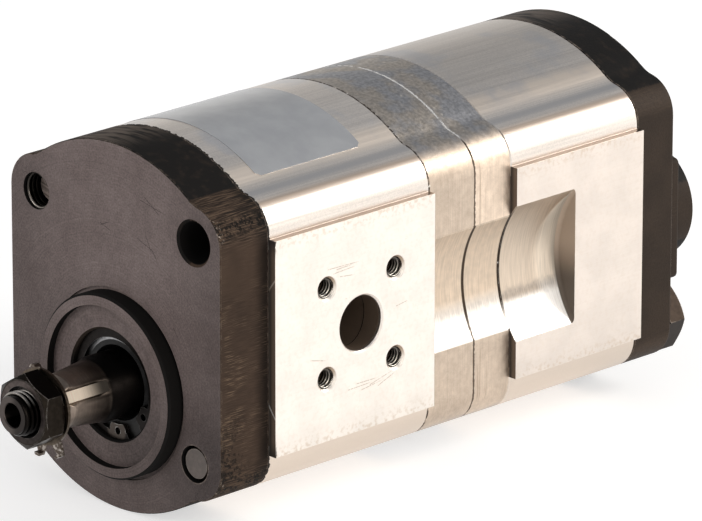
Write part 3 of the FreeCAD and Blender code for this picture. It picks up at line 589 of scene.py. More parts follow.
def coil_tree():
    """A coil spring whose ends are joined, as a ring square to Z."""
    given = sized_tree("closed_coil", ring_radius=0.0105, coil_radius=0.0005, wire_radius=0.00014,
                       turns=120.0)
    ring, coil, turns = given["ring_radius"], given["coil_radius"], given["turns"]
    steps = turns * 10.0
    path = node("GeometryNodeCurvePrimitiveCircle", {"Resolution": steps, "Radius": ring})[0]
    round_ring = node("GeometryNodeInputIndex", {}, path.tree)[0] / steps * math.tau
    round_coil = round_ring * turns
    reach = calculate("COSINE", round_coil) * coil + ring
    spot = vector_of(reach * calculate("COSINE", round_ring), reach * calculate("SINE", round_ring),
                     calculate("SINE", round_coil) * coil)
    wound = node("GeometryNodeSetPosition", {"Geometry": path, "Position": spot})[0]
    wire = node("GeometryNodeCurvePrimitiveCircle", {"Resolution": 6, "Radius": given["wire_radius"]})[0]
    return end_tree(given, node("GeometryNodeCurveToMesh", {"Curve": wound, "Profile Curve": wire})[0])


nitrile = rubber("nitrile")
coat(ring_steel(), "seal_circlip")
coat(case_steel(), "seal_case")
coat(nitrile, "seal_lip")
spring_low, spring_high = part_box("garter_spring")
coil_reach = (spring_high.y - spring_low.y) / 2
wire_radius = 0.00014
garter = grown("garter_coil", coil_tree(), [tuple((spring_low + spring_high) / 2)],
               ring_radius=(spring_high.x - spring_low.x) / 2 - coil_reach,
               coil_radius=coil_reach - wire_radius, wire_radius=wire_radius, turns=120.0,
               turned=along_drive, finish=bare_steel("spring_wire", rgb(176, 174, 170), 0.3))
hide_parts("garter_spring")
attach(garter, "housing")


# Pump bodies: two lengths of aluminium section, drawn, so the crown is streaked along the pump. The
# port pads are milled flat, and the pressure side of the second body is cut away for a pipe.
mounts = {mount["name"]: mount for mount in frame["record"]["mounts"]}
cover_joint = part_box("front_body")[0].y * 1000
rear_body_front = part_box("rear_body")[0].y * 1000
pad_half_height = 29.4
pad_face = 42.35
channel_axis_x = 65.0
channel_radius = 29.5
channel_end = 127.1
spanner_strokes = [((-12.1, 17.5), (0.0, 17.2)), ((-10.2, 15.9), (-1.9, 16.3)),
                   ((-7.8, 14.6), (-2.4, 14.0)), ((-9.0, 16.8), (-3.0, 17.0)),
                   ((-4.8, -17.2), (4.0, -17.0)), ((0.0, -18.3), (8.0, -17.3)),
                   ((3.0, -17.6), (11.6, -15.6)), ((6.0, -18.6), (12.5, -16.2)),
                   ((-2.0, -16.2), (6.0, -16.3)), ((12.6, 1.8), (17.0, 2.4)),
                   ((-18.4, -5.8), (-12.6, -7.2))]


def milled_channel_group():
    """The channel on the pressure side: where it is, its cutter lines, a smudge, its corner and end."""
    place = effect_group("milled_channel", ["mask", "lines", "smudge", "corner", "end"])[0]
    x, y, z = parts(place)
    round_it = from_axis(x, z, channel_axis_x, bolt_centre_z)
    in_pad = ramp(x, pad_face, pad_face - 0.1)
    wall = band(round_it, channel_radius, 0.2, 0.05) * ramp(x, pad_face - 0.02, pad_face - 0.1)
    end = ramp(y, channel_end - 1.1, channel_end - 0.9) * in_pad
    end = end * ramp(round_it, channel_radius + 0.2, channel_radius)
    fillet = ramp(y, channel_end - 1.4, channel_end - 1.2) * in_pad
    fillet = fillet * band(round_it, channel_radius - 0.5, 0.7, 0.1)
    lines = noise(vector_of(0.0, y, z * 0.05), 2.4, 5.0)
    low = noise(vector_of(0.0, y, z), 0.6, 5.0) * 3.0 + (z - 1.5)
    smudge = band(low, 7.6, 1.4, 1.4) * ramp(lines, 0.35, 0.6, 0.35, 1.0) * wall
    depth = pad_face - x
    # Mask for the painted shade that deepens into the corner at the channel's end.
    towards = ramp(y, depth * -1.6 + channel_end, channel_end - depth) * wall
    return put_out(mask=highest(wall, end, fillet), lines=lines, smudge=smudge,
                   corner=highest(towards, fillet), end=end)


milled_channel = milled_channel_group()


def drawn_skin(place, brush, grain, crown_tone):
    """The drawn surface: streaks along the pump, warm and grey bands on its shoulders that are painted
    reflections, cool patches, and painted shade below the pads and as dark ledges.
    """
    x, y, z = parts(place)
    side = abs(x)
    up = z - bolt_centre_z
    shoulder = ramp(abs(up), 30.0, 36.0)
    along_y = vector_of(y, x, z)
    broad = use_group(streaks, place=along_y, length=60.0, width=3.0)
    pores = use_group(specks, place=along_y, spacing=4.0, size=0.1, share=0.35)
    skin = blend(ramp(brush, 0.3, 0.7), rgb(223, 215, 207), rgb(235, 227, 219))
    skin = toned(skin, broad, 0.3, 0.7, 0.95, 1.02)
    skin = toned(skin, grain, 0.3, 0.7, 0.94, 1.06)
    # Painted reflection: a warm light band on the shoulder below the crown.
    skin = blend(band(side, 26.0, 2.6, 1.6) * shoulder * 0.9, skin, rgb(255, 240, 224))
    # Painted shade: a warm darker band that tones down the highlight on the corner boss.
    skin = blend(band(side, 36.1, 0.8, 1.0) * shoulder, skin, rgb(196, 178, 162))
    cool = ramp(noise(place, 0.06, 4.0), 0.5, 0.68) * ramp(abs(up), 40.0, 44.0)
    skin = blend(cool * 0.5, skin, rgb(196, 200, 208))
    # Painted reflection: a grey band in the valley between the crown and the corner boss.
    skin = blend(band(side, 32.2, 1.4, 1.0) * shoulder * 0.75, skin, rgb(188, 187, 188))
    skin = blend(pores * 0.6, skin, rgb(120, 104, 88))
    skin = toned(skin, ramp(side, 31.0, 24.0) * shoulder, 0.0, 1.0, 1.0, crown_tone)
    # Painted shade: the surface below the lower edge of the pads is darker.
    below = ramp(up, -pad_half_height + 1.0, -pad_half_height - 1.0)
    skin = blend(below * 0.85, skin, rgb(214, 200, 186))
    # Painted shade: a dark line on the ledge at the pad's top edge.
    ledge = ramp(normal_parts(place.tree)[2], 0.8, 0.95) * ramp(side, 40.0, 40.2)
    ledge = ledge * ramp(side, pad_face - 0.1, pad_face - 0.3) * ramp(up, 28.0, 29.0)
    return blend(ledge * 0.95, skin, rgb(104, 86, 72))


def milled_pad(place, grain, colour, port_y, strokes):
    """A port pad, milled flat: stained along its edges, scratched, with arcs where a spanner slipped."""
    x, y, z = parts(place)
    up = z - bolt_centre_z
    arcs = scratched(y - port_y, up, strokes, 0.16) * ramp(grain, 0.3, 0.55)
    fine = use_group(scratches, place=vector_of(z, y, x), length=9.0, spacing=1.6, width=0.02, share=0.25)
    cross = use_group(scratches, place=vector_of(y, x, z), length=7.0, spacing=2.2, width=0.02, share=0.2)
    dots = use_group(specks, place=place, spacing=9.0, size=0.05, share=0.22)
    stain = ramp(abs(up), pad_half_height - 4.0, pad_half_height) + 0.25
    stain = stain * ramp(noise(place, 0.8, 6.0), 0.46, 0.66)
    face = toned(colour, noise(place, 0.12), 0.3, 0.7, 0.95, 1.02)
    face = blend(stain * 0.4, face, rgb(202, 182, 160))
    face = blend(arcs * 0.65, face, rgb(160, 140, 122))
    face = toned(face, up, -20.0, -29.0, 1.0, 0.93)
    face = blend(fine * 0.3, face, rgb(186, 166, 146))
    face = blend(cross * 0.35, face, rgb(176, 158, 140))
    return blend(dots * 0.7, face, rgb(140, 112, 88))


def channel_cut(channel, y, up):
    """The channel in the second body: painted light below and painted shade towards its top, into the
    corner and down its end wall; dark at its joint.
    """
    cut = toned(rgb(214, 198, 180), channel["Lines"], 0.3, 0.7, 0.9, 1.08)
    # Painted light and shade: the cut is darker towards its top and lighter below, where it faces up.
    cut = toned(cut, up, -2.0, 12.0, 1.0, 0.9)
    cut = blend(ramp(up, -8.2, -10.2), cut, rgb(250, 246, 240))
    # Painted shade into the corner at the channel's end, darker towards the top.
    deep = blend(ramp(up, -6.0, -11.0), rgb(240, 226, 208), rgb(255, 252, 248))
    deep = toned(deep, up, -1.0, 10.0, 1.0, 0.56)
    deep = toned(deep, channel["Lines"], 0.3, 0.7, 0.86, 1.06)
    dark_from = ramp(up, -12.0, 2.0, channel_end - 1.2, channel_end - 4.5)
    corner_tone = ramp(up, -1.0, 10.0, 0.34, 0.75)
    deep = toned(deep, y, dark_from, channel_end - 0.6, 1.0, corner_tone)
    cut = blend(channel["Corner"], cut, deep)
    cut = blend(channel["Smudge"] * 0.6, cut, rgb(116, 112, 112))
    # Painted shade: the end wall darkens towards its bottom.
    cut = blend(channel["End"], cut, toned(rgb(176, 158, 141), up, -8.0, 5.0, 0.26, 1.0))
    crack = ramp(y, rear_body_front + 0.55, rear_body_front + 0.3) * channel["Mask"]
    crack = crack * ramp(up, -14.0, -8.0, 0.5, 1.0) * ramp(up, 20.0, 14.0)
    return blend(crack, cut, rgb(52, 43, 36))


def body_aluminium(body, pad_colour, screws, strokes, crown_tone):
    """Drawn aluminium with milled pads, painted dark inside its ports and screw holes as shade, and frayed
    at the joint with the cover.
    """
    made, place = finish(body + "_aluminium", 0.3, 1.0)
    first_end, last_end = (corner.y * 1000 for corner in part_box(body))
    port_y = mounts[screws[0]]["pos_m"][1] * 1000
    x, y, z = parts(place)
    side = abs(x)
    up = z - bolt_centre_z
    height = abs(up)
    pad = ramp(side, pad_face - 0.3, pad_face - 0.1)
    pad = pad * ramp(height, pad_half_height + 0.1, pad_half_height - 0.1)
    brush = use_group(streaks, place=vector_of(y, x, z), length=45.0, width=0.45)
    grain = noise(place, 2.2, 5.0)
    colour = blend(pad, drawn_skin(place, brush, grain, crown_tone),
                   milled_pad(place, grain, pad_colour, port_y, strokes))
    at_end = highest(ramp(y, first_end + 0.06, first_end + 0.03),
                     ramp(y, last_end - 0.06, last_end - 0.03))
    at_end = at_end * ramp(side, 39.9, 40.1)
    colour = blend(at_end, colour, blend(ramp(side, 40.2, 41.6), rgb(52, 43, 36), rgb(104, 88, 74)))

    channel = use_group(milled_channel, place=place)
    colour = blend(channel["Mask"], colour, channel_cut(channel, y, up))
    # Painted shade: surfaces sunk below the pad faces, inside the ports, are painted dark.
    inner = ramp(side, 41.3, 41.0) * ramp(height, 27.0, 26.5)
    hollow = calculate("SUBTRACT", inner, highest(channel["Mask"], at_end), clamp=True)
    colour = blend(hollow * 0.97, colour, rgb(96, 80, 66))
    for mount in screws:
        facing = mounts[mount]["axis"][0]
        offset = mounts[mount]["dims"]["pcd_mm"] / 2 / math.sqrt(2)
        for across, high in ((-offset, -offset), (offset, -offset), (offset, offset), (-offset, offset)):
            away = from_axis(y, z, port_y + across, bolt_centre_z + high)
            sunk = ramp(away, 3.5, 3.3) * ramp(pad, 0.9, 0.5) * ramp(x * facing, 34.0, 36.0)
            # Painted light and shade on each countersink: lighter in its lower half, darker above; the
            # hole inside painted near black as shade.
            cone = blend(ramp(up - high, 2.0, -1.6), rgb(168, 150, 132), rgb(244, 236, 226))
            colour = blend(sunk, colour, cone)
            colour = blend(sunk * ramp(away, 2.9, 2.7), colour, rgb(34, 28, 24))
    ragged = noise(place, 0.9) * 1.3 + (cover_joint - 0.35)
    frayed = calculate("LESS_THAN", y, ragged) * ramp(height, 24.0, 30.0)
    colour = blend(frayed, colour, rgb(40, 34, 30))
    wear_and_highlight = use_group(worn_edges, place=place, width=0.35)
    wear_and_highlight = wear_and_highlight * calculate("SUBTRACT", 0.4, highest(frayed, at_end), clamp=True)
    # Edges lightened: partly wear, partly painted edge highlight.
    colour = blend(wear_and_highlight, colour, rgb(248, 244, 238))

    dull = highest(channel["Corner"], channel["End"], frayed, at_end)
    metal = ramp(hollow, 0.0, 1.0, 1.0, 0.25) * (1.0 - dull)
    rough = ramp(brush, 0.2, 0.8, 0.32, 0.42) + pad * 0.2 + dull * 0.4
    relief = (1.0 - pad) * brush * 0.012 + grain * 0.006 + channel["Lines"] * channel["Mask"] * 0.02
    return finished(made, colour, relief, metallic=metal, roughness=rough)


coat(body_aluminium("front_body", rgb(238, 232, 225), ["pressure_port_screws", "front_suction_screws"],
                    spanner_strokes, 1.0), "front_body")
coat(body_aluminium("rear_body", rgb(227, 218, 210), ["rear_suction_screws"], [], 0.82), "rear_body")


# Port screw threads: the four holes round each side port are tapped M6 in the aluminium. The crests
# are helical ridges on the drilled walls, with a painted highlight where they face up near the mouth
# and painted shade further in.
screw_crest = 0.00215
screw_pitch = 0.001
screw_depth = 0.012
screw_sink = 0.0007


def port_thread_aluminium():
    """Cut threads: a painted highlight below, where they face up, and near the mouth; painted shade
    further in.
    """
    made, place = finish("port_thread_aluminium", 0.34, 1.0)
    mouth = ramp(abs(parts(place)[0]), pad_face - 4.5, pad_face - 1.2)
    bright = mouth * (ramp(normal_parts(place.tree)[2], 0.0, 0.6) * 0.75 + 0.25)
    colour = blend(bright, rgb(60, 50, 42), rgb(246, 240, 230))
    return finished(made, toned(colour, noise(place, 1.2), 0.3, 0.7, 0.8, 1.1))


port_thread_finish = port_thread_aluminium()


def port_threads(name, screws):
    """The threads of one side port, on a square whose corners lie on the screw circle."""
    mount = mounts[screws]
    side = mount["axis"][0]
    middle_y, middle_z = mount["pos_m"][1:]
    offset = mount["dims"]["pcd_mm"] / 2000 / math.sqrt(2)
    bottom = side * (pad_face / 1000 - screw_depth)
    places = [(bottom, middle_y + a * offset, middle_z + b * offset) for a in (-1, 1) for b in (-1, 1)]
    made = grown(name, thread_ridges, places, wall_radius=mount["dims"]["hole_r_mm"] / 1000,
                 crest_radius=screw_crest, pitch=screw_pitch, length=screw_depth - screw_sink,
                 run_out=0.0006, turned=(0.0, side * math.radians(90), 0.0), finish=port_thread_finish)
    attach(made, "housing")


port_threads("pressure_port_threads", "pressure_port_screws")
port_threads("front_suction_port_threads", "front_suction_screws")
port_threads("rear_suction_port_threads", "rear_suction_screws")


# Blank label: a thin self-adhesive foil bent over the crown of the first body, pale grey and satin.
# It carries nothing, and its edges lie just off the metal.
crown_middle_z = bolt_centre_z / 1000
crown_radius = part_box("front_body")[1].z - crown_middle_z
label_from = 0.0248
label_to = 0.0621
label_low_angle = math.radians(56.6)
label_high_angle = math.radians(123.4)
label_corner = 0.0015
label_stand_off = 0.00012
label_thickness = 0.0001


def label_mesh(radius, rows=48, columns=12):
    """A rounded rectangle laid on the crown, in rows from its lower edge to its upper one."""
    points = []
    faces = []
    arc = (label_high_angle - label_low_angle) * radius
    for row in range(rows + 1):
        climb = arc * row / rows
        short = max(label_corner - min(climb, arc - climb), 0.0)
        cut_in = label_corner - math.sqrt(label_corner ** 2 - short ** 2)
        angle = label_low_angle + climb / radius
        for column in range(columns + 1):
            y = label_from + cut_in + (label_to - label_from - 2 * cut_in) * column / columns
            points.append((radius * math.cos(angle), y, crown_middle_z + radius * math.sin(angle)))
    for row in range(rows):
        for column in range(columns):
            first = row * (columns + 1) + column
            faces.append((first, first + 1, first + columns + 2, first + columns + 1))
    mesh = bpy.data.meshes.new("blank_label")
    mesh.from_pydata(points, [], faces)
    return mesh


def label_foil():
    """Satin foil with a faint pattern of rubbing."""
    made, place = finish("label_foil", 0.38, 0.35)
    skin = made.node_tree.nodes["Principled BSDF"].inputs
    skin["Coat Weight"].default_value = 0.8
    skin["Coat Roughness"].default_value = 0.25
    x, y, z = parts(place)
    rubbed = use_group(scratches, place=vector_of(y, x, z), length=8.0, spacing=1.2, width=0.02, share=0.3)
    clouds = noise(place, 0.15)
    colour = blend(ramp(clouds, 0.3, 0.7), rgb(154, 156, 160), rgb(164, 166, 169))
    return finished(made, blend(rubbed * 0.25, colour, rgb(140, 138, 136)), clouds * 0.15)


label_shape = label_mesh(crown_radius + label_stand_off)
label_shape.materials.append(label_foil())
label = new_object("blank_label", label_shape)
foil = label.modifiers.new("foil", "SOLIDIFY")
foil.thickness = label_thickness
foil.offset = -1.0
make_plain(label)
label.data.shade_smooth()
label.data.set_sharp_from_angle(angle=math.radians(40))
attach(label, "housing")


# Intermediate plates: cast aluminium, sawn and ground at the joints, rough and stained on top. The
# channel of the second body runs on across both.
plate_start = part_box("front_plate")[0].y * 1000
plate_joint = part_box("front_plate")[1].y * 1000
plate_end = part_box("rear_plate")[1].y * 1000
lines_y = 94.6


def plate_aluminium(name, lined, dark_joint, darkness, tone_low, tone_high):
    """Mottled cast aluminium with a milled channel. A lined plate has fine upright marks at its side."""
    made, place = finish(name, 0.42, 1.0)
    x, y, z = parts(place)
    side = abs(x)
    up = z - bolt_centre_z
    clouds = noise(place, 0.11, 4.0)
    mottle = noise(place, 0.5, 6.0)
    grit = noise(place, 2.6, 6.0)
    pale = use_group(specks, place=place, spacing=2.3, size=0.3, share=0.14)
    upright = use_group(streaks, place=vector_of(z, y, x), length=14.0, width=0.5)
    level = use_group(streaks, place=vector_of(y, x, z), length=16.0, width=0.8)
    colour = blend(ramp(mottle, 0.32, 0.68), rgb(208, 190, 172), rgb(221, 204, 186))
    colour = toned(colour, upright, 0.3, 0.7, 0.94, 1.05)
    colour = toned(colour, clouds, 0.35, 0.65, 0.93, 1.03)
    colour = toned(colour, up, -12.0, 16.0, tone_low, tone_high)
    top = blend(ramp(clouds, 0.4, 0.6), rgb(163, 163, 166), rgb(178, 170, 161))
    top = toned(top, noise(place, 1.1, 5.0), 0.3, 0.7, 0.78, 1.16)
    top = blend(pale * 0.4, top, rgb(236, 228, 216))
    top = toned(top, level, 0.3, 0.7, 0.95, 1.04)
    colour = blend(ramp(abs(up), 31.0, 37.0) * ramp(side, 38.0, 33.0), colour, top)
    colour = toned(colour, grit, 0.25, 0.75, 0.95, 1.05)
    if lined:
        marks = ramp(noise(vector_of(0.0, y, z * 0.02), 1.9, 2.0), 0.57, 0.64)
        marks = marks * band(y, lines_y, 1.8, 0.4) * ramp(side, 39.0, 39.8)
        colour = blend(marks * 0.45, colour, rgb(150, 128, 108))

    channel = use_group(milled_channel, place=place)
    cut = toned(rgb(212, 194, 174), channel["Lines"], 0.3, 0.7, 0.9, 1.06)
    cut = toned(cut, mottle, 0.3, 0.7, 0.92, 1.04)
    # Painted light and shade: the channel is darker towards its top and lighter below, where it faces up.
    cut = toned(cut, up, 4.0, 20.0, 1.0, 0.84)
    cut = blend(ramp(up, -4.0, -10.0), cut, rgb(248, 242, 234))
    cut = blend(channel["Smudge"] * 0.4, cut, rgb(120, 114, 112))
    colour = blend(channel["Mask"], colour, cut)
    wear_and_highlight = use_group(worn_edges, place=place, width=0.4)
    # Edges lightened: partly wear, partly painted edge highlight.
    colour = blend(wear_and_highlight * 0.4, colour, rgb(250, 246, 240))
    gaps = noise(place, 0.7, 4.0)
    uneven = noise(place, 1.0) * 0.7 + (y - 0.35)
    shut = band(uneven, dark_joint, 0.3, 0.12) * ramp(gaps, 0.34, 0.5, 0.1, 0.9 * darkness)
    colour = blend(shut, colour, rgb(66, 56, 48))
    for joint, wide in ((plate_joint, 0.5), (plate_end, 0.6)):
        crack = band(y, joint, wide, 0.15) * channel["Mask"]
        crack = crack * ramp(up, -14.0, -8.0, 0.4, 1.0) * ramp(up, 20.0, 14.0)
        colour = blend(crack, colour, rgb(52, 43, 36))
    nicks = band(y, dark_joint, 0.5, 0.15) * ramp(noise(place, 0.9, 2.0), 0.64, 0.7) * darkness
    colour = blend(nicks, colour, rgb(250, 246, 240))
    shared = band(uneven, plate_joint, 0.3, 0.1)
    on_crown = ramp(side, 36.0, 33.0) * ramp(up, 8.0, 12.0)
    colour = blend(shared * ramp(gaps, 0.3, 0.4) * on_crown, colour, rgb(255, 252, 248))
    colour = blend(shared * ramp(on_crown, 0.0, 1.0, 0.85, 0.0), colour, rgb(70, 58, 48))
    relief = (grit * 0.03 + mottle * 0.05) * ramp(channel["Mask"], 0.0, 1.0, 1.0, 0.3)
    return finished(made, colour, relief, roughness=ramp(mottle, 0.2, 0.8, 0.36, 0.54))


coat(plate_aluminium("front_plate_aluminium", False, plate_start, 1.0, 0.84, 0.84), "front_plate")
coat(plate_aluminium("rear_plate_aluminium", True, plate_end, 0.35, 0.9, 1.14), "rear_plate")


# Rear cover: cast iron in the same dark coating, matt and grainy, with a milled pad and a round boss.
# The second outlet in the boss is tapped G 1/2.
coat(cover_paint("rear_cover_paint", False, rgb(47, 38, 31), 200.0, 35.5), "rear_cover")
outlet_x, outlet_z = mounts["rear_outlet_port"]["pos_m"][::2]
outlet_wall = mounts["rear_outlet_port"]["dims"]["r_mm"] / 1000
outlet_crest = 0.0085
outlet_pitch = 0.001814
outlet_depth = 0.0148
outlet_sink = 0.0009
outlet_bottom = (outlet_x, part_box("rear_cover")[1].y - outlet_depth, outlet_z)
outlet_threads = grown("outlet_threads", thread_ridges, [outlet_bottom], wall_radius=outlet_wall,
                       crest_radius=outlet_crest, pitch=outlet_pitch, length=outlet_depth - outlet_sink,
                       run_out=0.001, turned=(math.radians(-90), 0.0, 0.0), finish=thread_finish)
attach(outlet_threads, "housing")


# Tie bolts and dowels: two long hexagon bolts, black oxide, pull the sections together, and ground
# pins across each joint keep them in line.
def bolt_steel():
    """Black oxide, with the cut ends in front grey, the deeper one painted lighter as painted light and
    crossed by slanted dark lines; edges lightened by wear and painted highlight, most round the ends.
    """
    made, place = finish("bolt_steel", 0.42, 1.0)
    x, y, z = parts(place)
    stains = noise(place, 0.8, 5.0)
    cut_end = ramp(normal_parts(place.tree)[1], -0.8, -0.95) * ramp(y, 20.0, 15.0)
    wear_and_highlight = use_group(worn_edges, place=place, width=0.4) * ramp(cut_end, 0.0, 1.0, 0.3, 0.9)
    slanted_lines = noise(vector_of(0.0, 0.0, x * 0.235 + z), 1.1, 1.0)
    black = toned(rgb(44, 37, 32), stains, 0.3, 0.7, 0.82, 1.15)
    grey = toned(rgb(88, 79, 74), stains, 0.3, 0.7, 0.85, 1.15)
    # Painted light: the end that lies deeper in its hole is made lighter.
    grey = toned(grey, y, 1.0, 3.0, 1.0, 3.0)
    grey = dim(grey, highest(ramp(slanted_lines, 0.44, 0.54), ramp(y, 3.0, 1.0, 0.45, 1.0)))
    colour = blend(wear_and_highlight, blend(cut_end, black, grey), rgb(176, 166, 156))
    return finished(made, colour, stains * 0.02, metallic=ramp(cut_end, 0.0, 1.0, 1.0, 0.1))


coat(bolt_steel(), "tie_bolt_lower", "tie_bolt_upper")
coat(bare_steel("ground_pins", rgb(186, 184, 180), 0.24, way=(0.2, 3.0, 0.2)), "dowel_pins")


# Seals between the pieces: nitrile rings in the joints, round the outlet passage and behind the
# bearing blocks. They lie in grooves and are seen only with the pump apart.
block_ends = [stage + "_" + end for stage in ("front_stage", "rear_stage") for end in ("front", "rear")]
coat(nitrile, "plate_seal", "outlet_seal")
for block_end in block_ends:
    coat(nitrile, block_end + "_section_seal", block_end + "_block_seal")


# Bearing blocks and bushes: figure-eight blocks of machined aluminium that float against the gears,
# with rolled bronze bushes pressed into both bores.
def machined_aluminium():
    """Bright aluminium with milling lines and an oily tint."""
    made, place = finish("block_aluminium", 0.3, 1.0)
    lines = use_group(streaks, place=place, length=30.0, width=0.35)
    oil = ramp(noise(place, 0.25, 4.0), 0.5, 0.7)
    colour = blend(ramp(lines, 0.3, 0.7), rgb(196, 196, 194), rgb(226, 226, 223))
    return finished(made, blend(oil * 0.5, colour, rgb(188, 172, 140)), lines * 0.015)


blocks = machined_aluminium()
bronze = bare_steel("bush_bronze", rgb(190, 142, 92), 0.34, 0.25, (0.3, 2.0, 0.3))
for block_end in block_ends:
    coat(blocks, block_end + "_bearing_block")
    coat(bronze, block_end + "_bushes")


# Gears and coupling: case-hardened steel, ground on the flanks and journals, and a turned coupling
# that carries the drive on to the second stage.
coat(bare_steel("ground_gears", rgb(176, 173, 168), 0.24, 0.2, (0.4, 2.6, 0.4)),
     "front_stage_driven_gear", "rear_stage_driven_gear", "drive_shaft_rear")
coat(bare_steel("turned_coupling", rgb(150, 146, 140), 0.34, 0.3, (0.2, 3.0, 0.2)), "drive_coupling")


# Drive shaft: hardened steel, ground on the 1:5 taper and browned by handling, painted black from the
# seal journal inwards as shade. Its threaded end takes the nut, and the crests carry a painted highlight
# where they face up.
thread_root = 0.00512
thread_crest = 0.00597
thread_pitch = 0.0015
thread_start_y = -0.0240
thread_first_y = -0.0247
thread_sink = 0.0006
key_lean = math.radians(26)


def shaft_copy():
    """The shaft's own shape, with the threaded length turned down to the root of the thread."""
    shape = bmesh.new()
    shape.from_mesh(frame["nodes"]["drive_shaft_front"].data)
    bmesh.ops.remove_doubles(shape, verts=shape.verts, dist=1e-7)
    for vertex in shape.verts:
        radius = math.hypot(vertex.co.x, vertex.co.z)
        if vertex.co.y < thread_start_y + 1e-5 and radius > thread_root:
            vertex.co.x *= thread_root / radius
            vertex.co.z *= thread_root / radius
    mesh = bpy.data.meshes.new("drive_shaft")
    shape.to_mesh(mesh)
    shape.free()
    mesh.shade_smooth()
    mesh.set_sharp_from_angle(angle=math.radians(25))
    return mesh


def shaft_steel():
    """Ground steel in rings round the shaft: a brown taper with painted shade towards the cover, where it
    faces down and beside the key; a journal and centre hole painted black as shade; a thread whose upward
    crests carry a painted highlight.
    """
    made, place = finish("shaft_steel", 0.36, 1.0)
    x, y, z = parts(place)
    radius = from_axis(x, z)
    upwards = z / radius
    rings = noise(vector_of(0.0, y, 0.0), 2.2, 5.0)
    stains = noise(place, 0.35, 4.0)
    taper = toned(rgb(116, 105, 96), rings, 0.3, 0.7, 0.88, 1.12)
    taper = toned(taper, stains, 0.4, 0.7, 1.05, 0.8)
    # Painted shade: the taper darkens towards the cover and where it faces down, and is a little lighter
    # where it faces up.
    taper = toned(taper, y, -18.0, -8.5, 1.35, 0.34)
    taper = toned(taper, upwards, -0.2, -0.5, 1.0, 0.62)
    taper = toned(taper, upwards, 0.6, 0.8, 1.0, 1.05)
    # Painted shadow beside the key.
    from_key = z * math.cos(key_lean) - x * math.sin(key_lean)
    beside_key = ramp(from_key, -3.4, -2.2) * ramp(from_key, 4.0, 1.5) * ramp(x, 0.0, 2.0)
    taper = toned(taper, beside_key * ramp(y, -20.0, -15.0), 0.0, 1.0, 1.0, 0.45)
    # Painted shade: the journal inside the seal is near black.
    colour = blend(ramp(y, -9.4, -8.4), taper, rgb(15, 13, 12))
    # Painted highlight: thread crests that face up are light.
    lit = blend(ramp(upwards, 0.5, 0.9), rgb(24, 21, 20), rgb(196, 190, 184))
    threaded = blend(ramp(radius, 5.3, 5.85), rgb(44, 40, 37), lit)
    threaded = blend(ramp(radius, 5.05, 4.9), threaded, rgb(84, 77, 74))
    # Painted shade: the thread darkens on its +X side.
    threaded = toned(threaded, x, -1.0, 2.0, 1.0, 0.35)
    colour = blend(ramp(y, -23.0, -24.0), colour, threaded)
    # Painted shade: the centre hole in the shaft end is near black.
    centre_hole = ramp(radius, 3.25, 3.1) * ramp(y, 0.0, -20.0)
    colour = blend(centre_hole, colour, rgb(12, 10, 9))
    colour = blend(ramp(y, 17.0, 19.0), colour, rgb(176, 173, 168))
    return finished(made, colour, rings * 0.012, roughness=ramp(stains, 0.3, 0.7, 0.28, 0.42))


shaft_finish = shaft_steel()
shaft_mesh = shaft_copy()
shaft_mesh.materials.append(shaft_finish)
shaft = new_object("drive_shaft", shaft_mesh)
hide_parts("drive_shaft_front")
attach(shaft, "drive_train")
shaft_threads = grown("shaft_thread", thread_ridges, [(0.0, thread_first_y, 0.0)], wall_radius=thread_root,
                      crest_radius=thread_crest, pitch=thread_pitch,
                      length=thread_first_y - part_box("drive_shaft_front")[0].y - thread_sink,
                      run_out=0.0009, turned=along_drive, finish=shaft_finish)
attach(shaft_threads, "drive_train")


# Key, tab washer and nut: a bright drawn key in the taper, a zinc-plated washer whose tabs are bent
# up beside the nut, and a black oxide nut with its front face rubbed grey.
def key_steel():
    """Bright steel with fine marks across its length, rubbed warm."""
    made, place = finish("key_steel", 0.34, 0.3)
    y = parts(place)[1]
    marks = noise(vector_of(0.0, y, 0.0), 2.0, 4.0)
    colour = toned(rgb(240, 224, 204), marks, 0.3, 0.7, 0.93, 1.05)
    # Painted shade: the key darkens towards the cover, where it runs into the bore.
    return finished(made, toned(colour, y, -20.5, -11.5, 1.2, 0.06), marks * 0.012)


def washer_steel():
    """Thin washer: brown-grey rim, tabs scraped to bare silver."""
    made, place = finish("washer_steel", 0.3, 1.0)
    x, z = parts(place)[::2]
    stains = noise(place, 1.3, 4.0)
    rim = blend(stains, rgb(58, 51, 44), rgb(112, 100, 87))
    tab = blend(ramp(stains, 0.45, 0.7), rgb(84, 74, 66), rgb(176, 168, 160))
    return finished(made, blend(ramp(from_axis(x, z), 10.25, 10.6), rim, tab), stains * 0.03)


def nut_steel():
    """Black oxide, grey where the spanner and the bench rubbed its front; painted shade on its upward
    faces, on the lower part of its front and in its bore.
    """
    made, place = finish("nut_steel", 0.4, 1.0)
    x, z = parts(place)[::2]
    facing, upwards = normal_parts(place.tree)[1:]
    stains = noise(place, 0.8, 5.0)
    radius = from_axis(x, z)
    sides = toned(rgb(42, 37, 32), stains, 0.3, 0.7, 0.8, 1.15)
    # Painted shade on the faces that look up.
    sides = toned(sides, upwards, 0.2, 0.45, 1.0, 0.25)
    front = toned(rgb(80, 72, 69), stains, 0.3, 0.7, 0.75, 1.25)
    # Painted shade: the front darker towards its bottom.
    front = toned(front, z, -6.0, 5.0, 0.4, 1.0)
    colour = blend(ramp(facing, -0.93, -0.98) * ramp(radius, 8.6, 8.2), sides, front)
    wear_and_highlight = use_group(worn_edges, place=place, width=0.35)
    # Edges lightened: partly wear, partly painted edge highlight.
    colour = blend(wear_and_highlight * 0.45, colour, rgb(170, 165, 160))
    # Painted shade: the bore round the thread is near black.
    sunk = ramp(radius, 7.2, 6.9) * ramp(facing, -0.9, -0.75)
    return finished(made, blend(sunk, colour, rgb(12, 11, 10)), stains * 0.03)


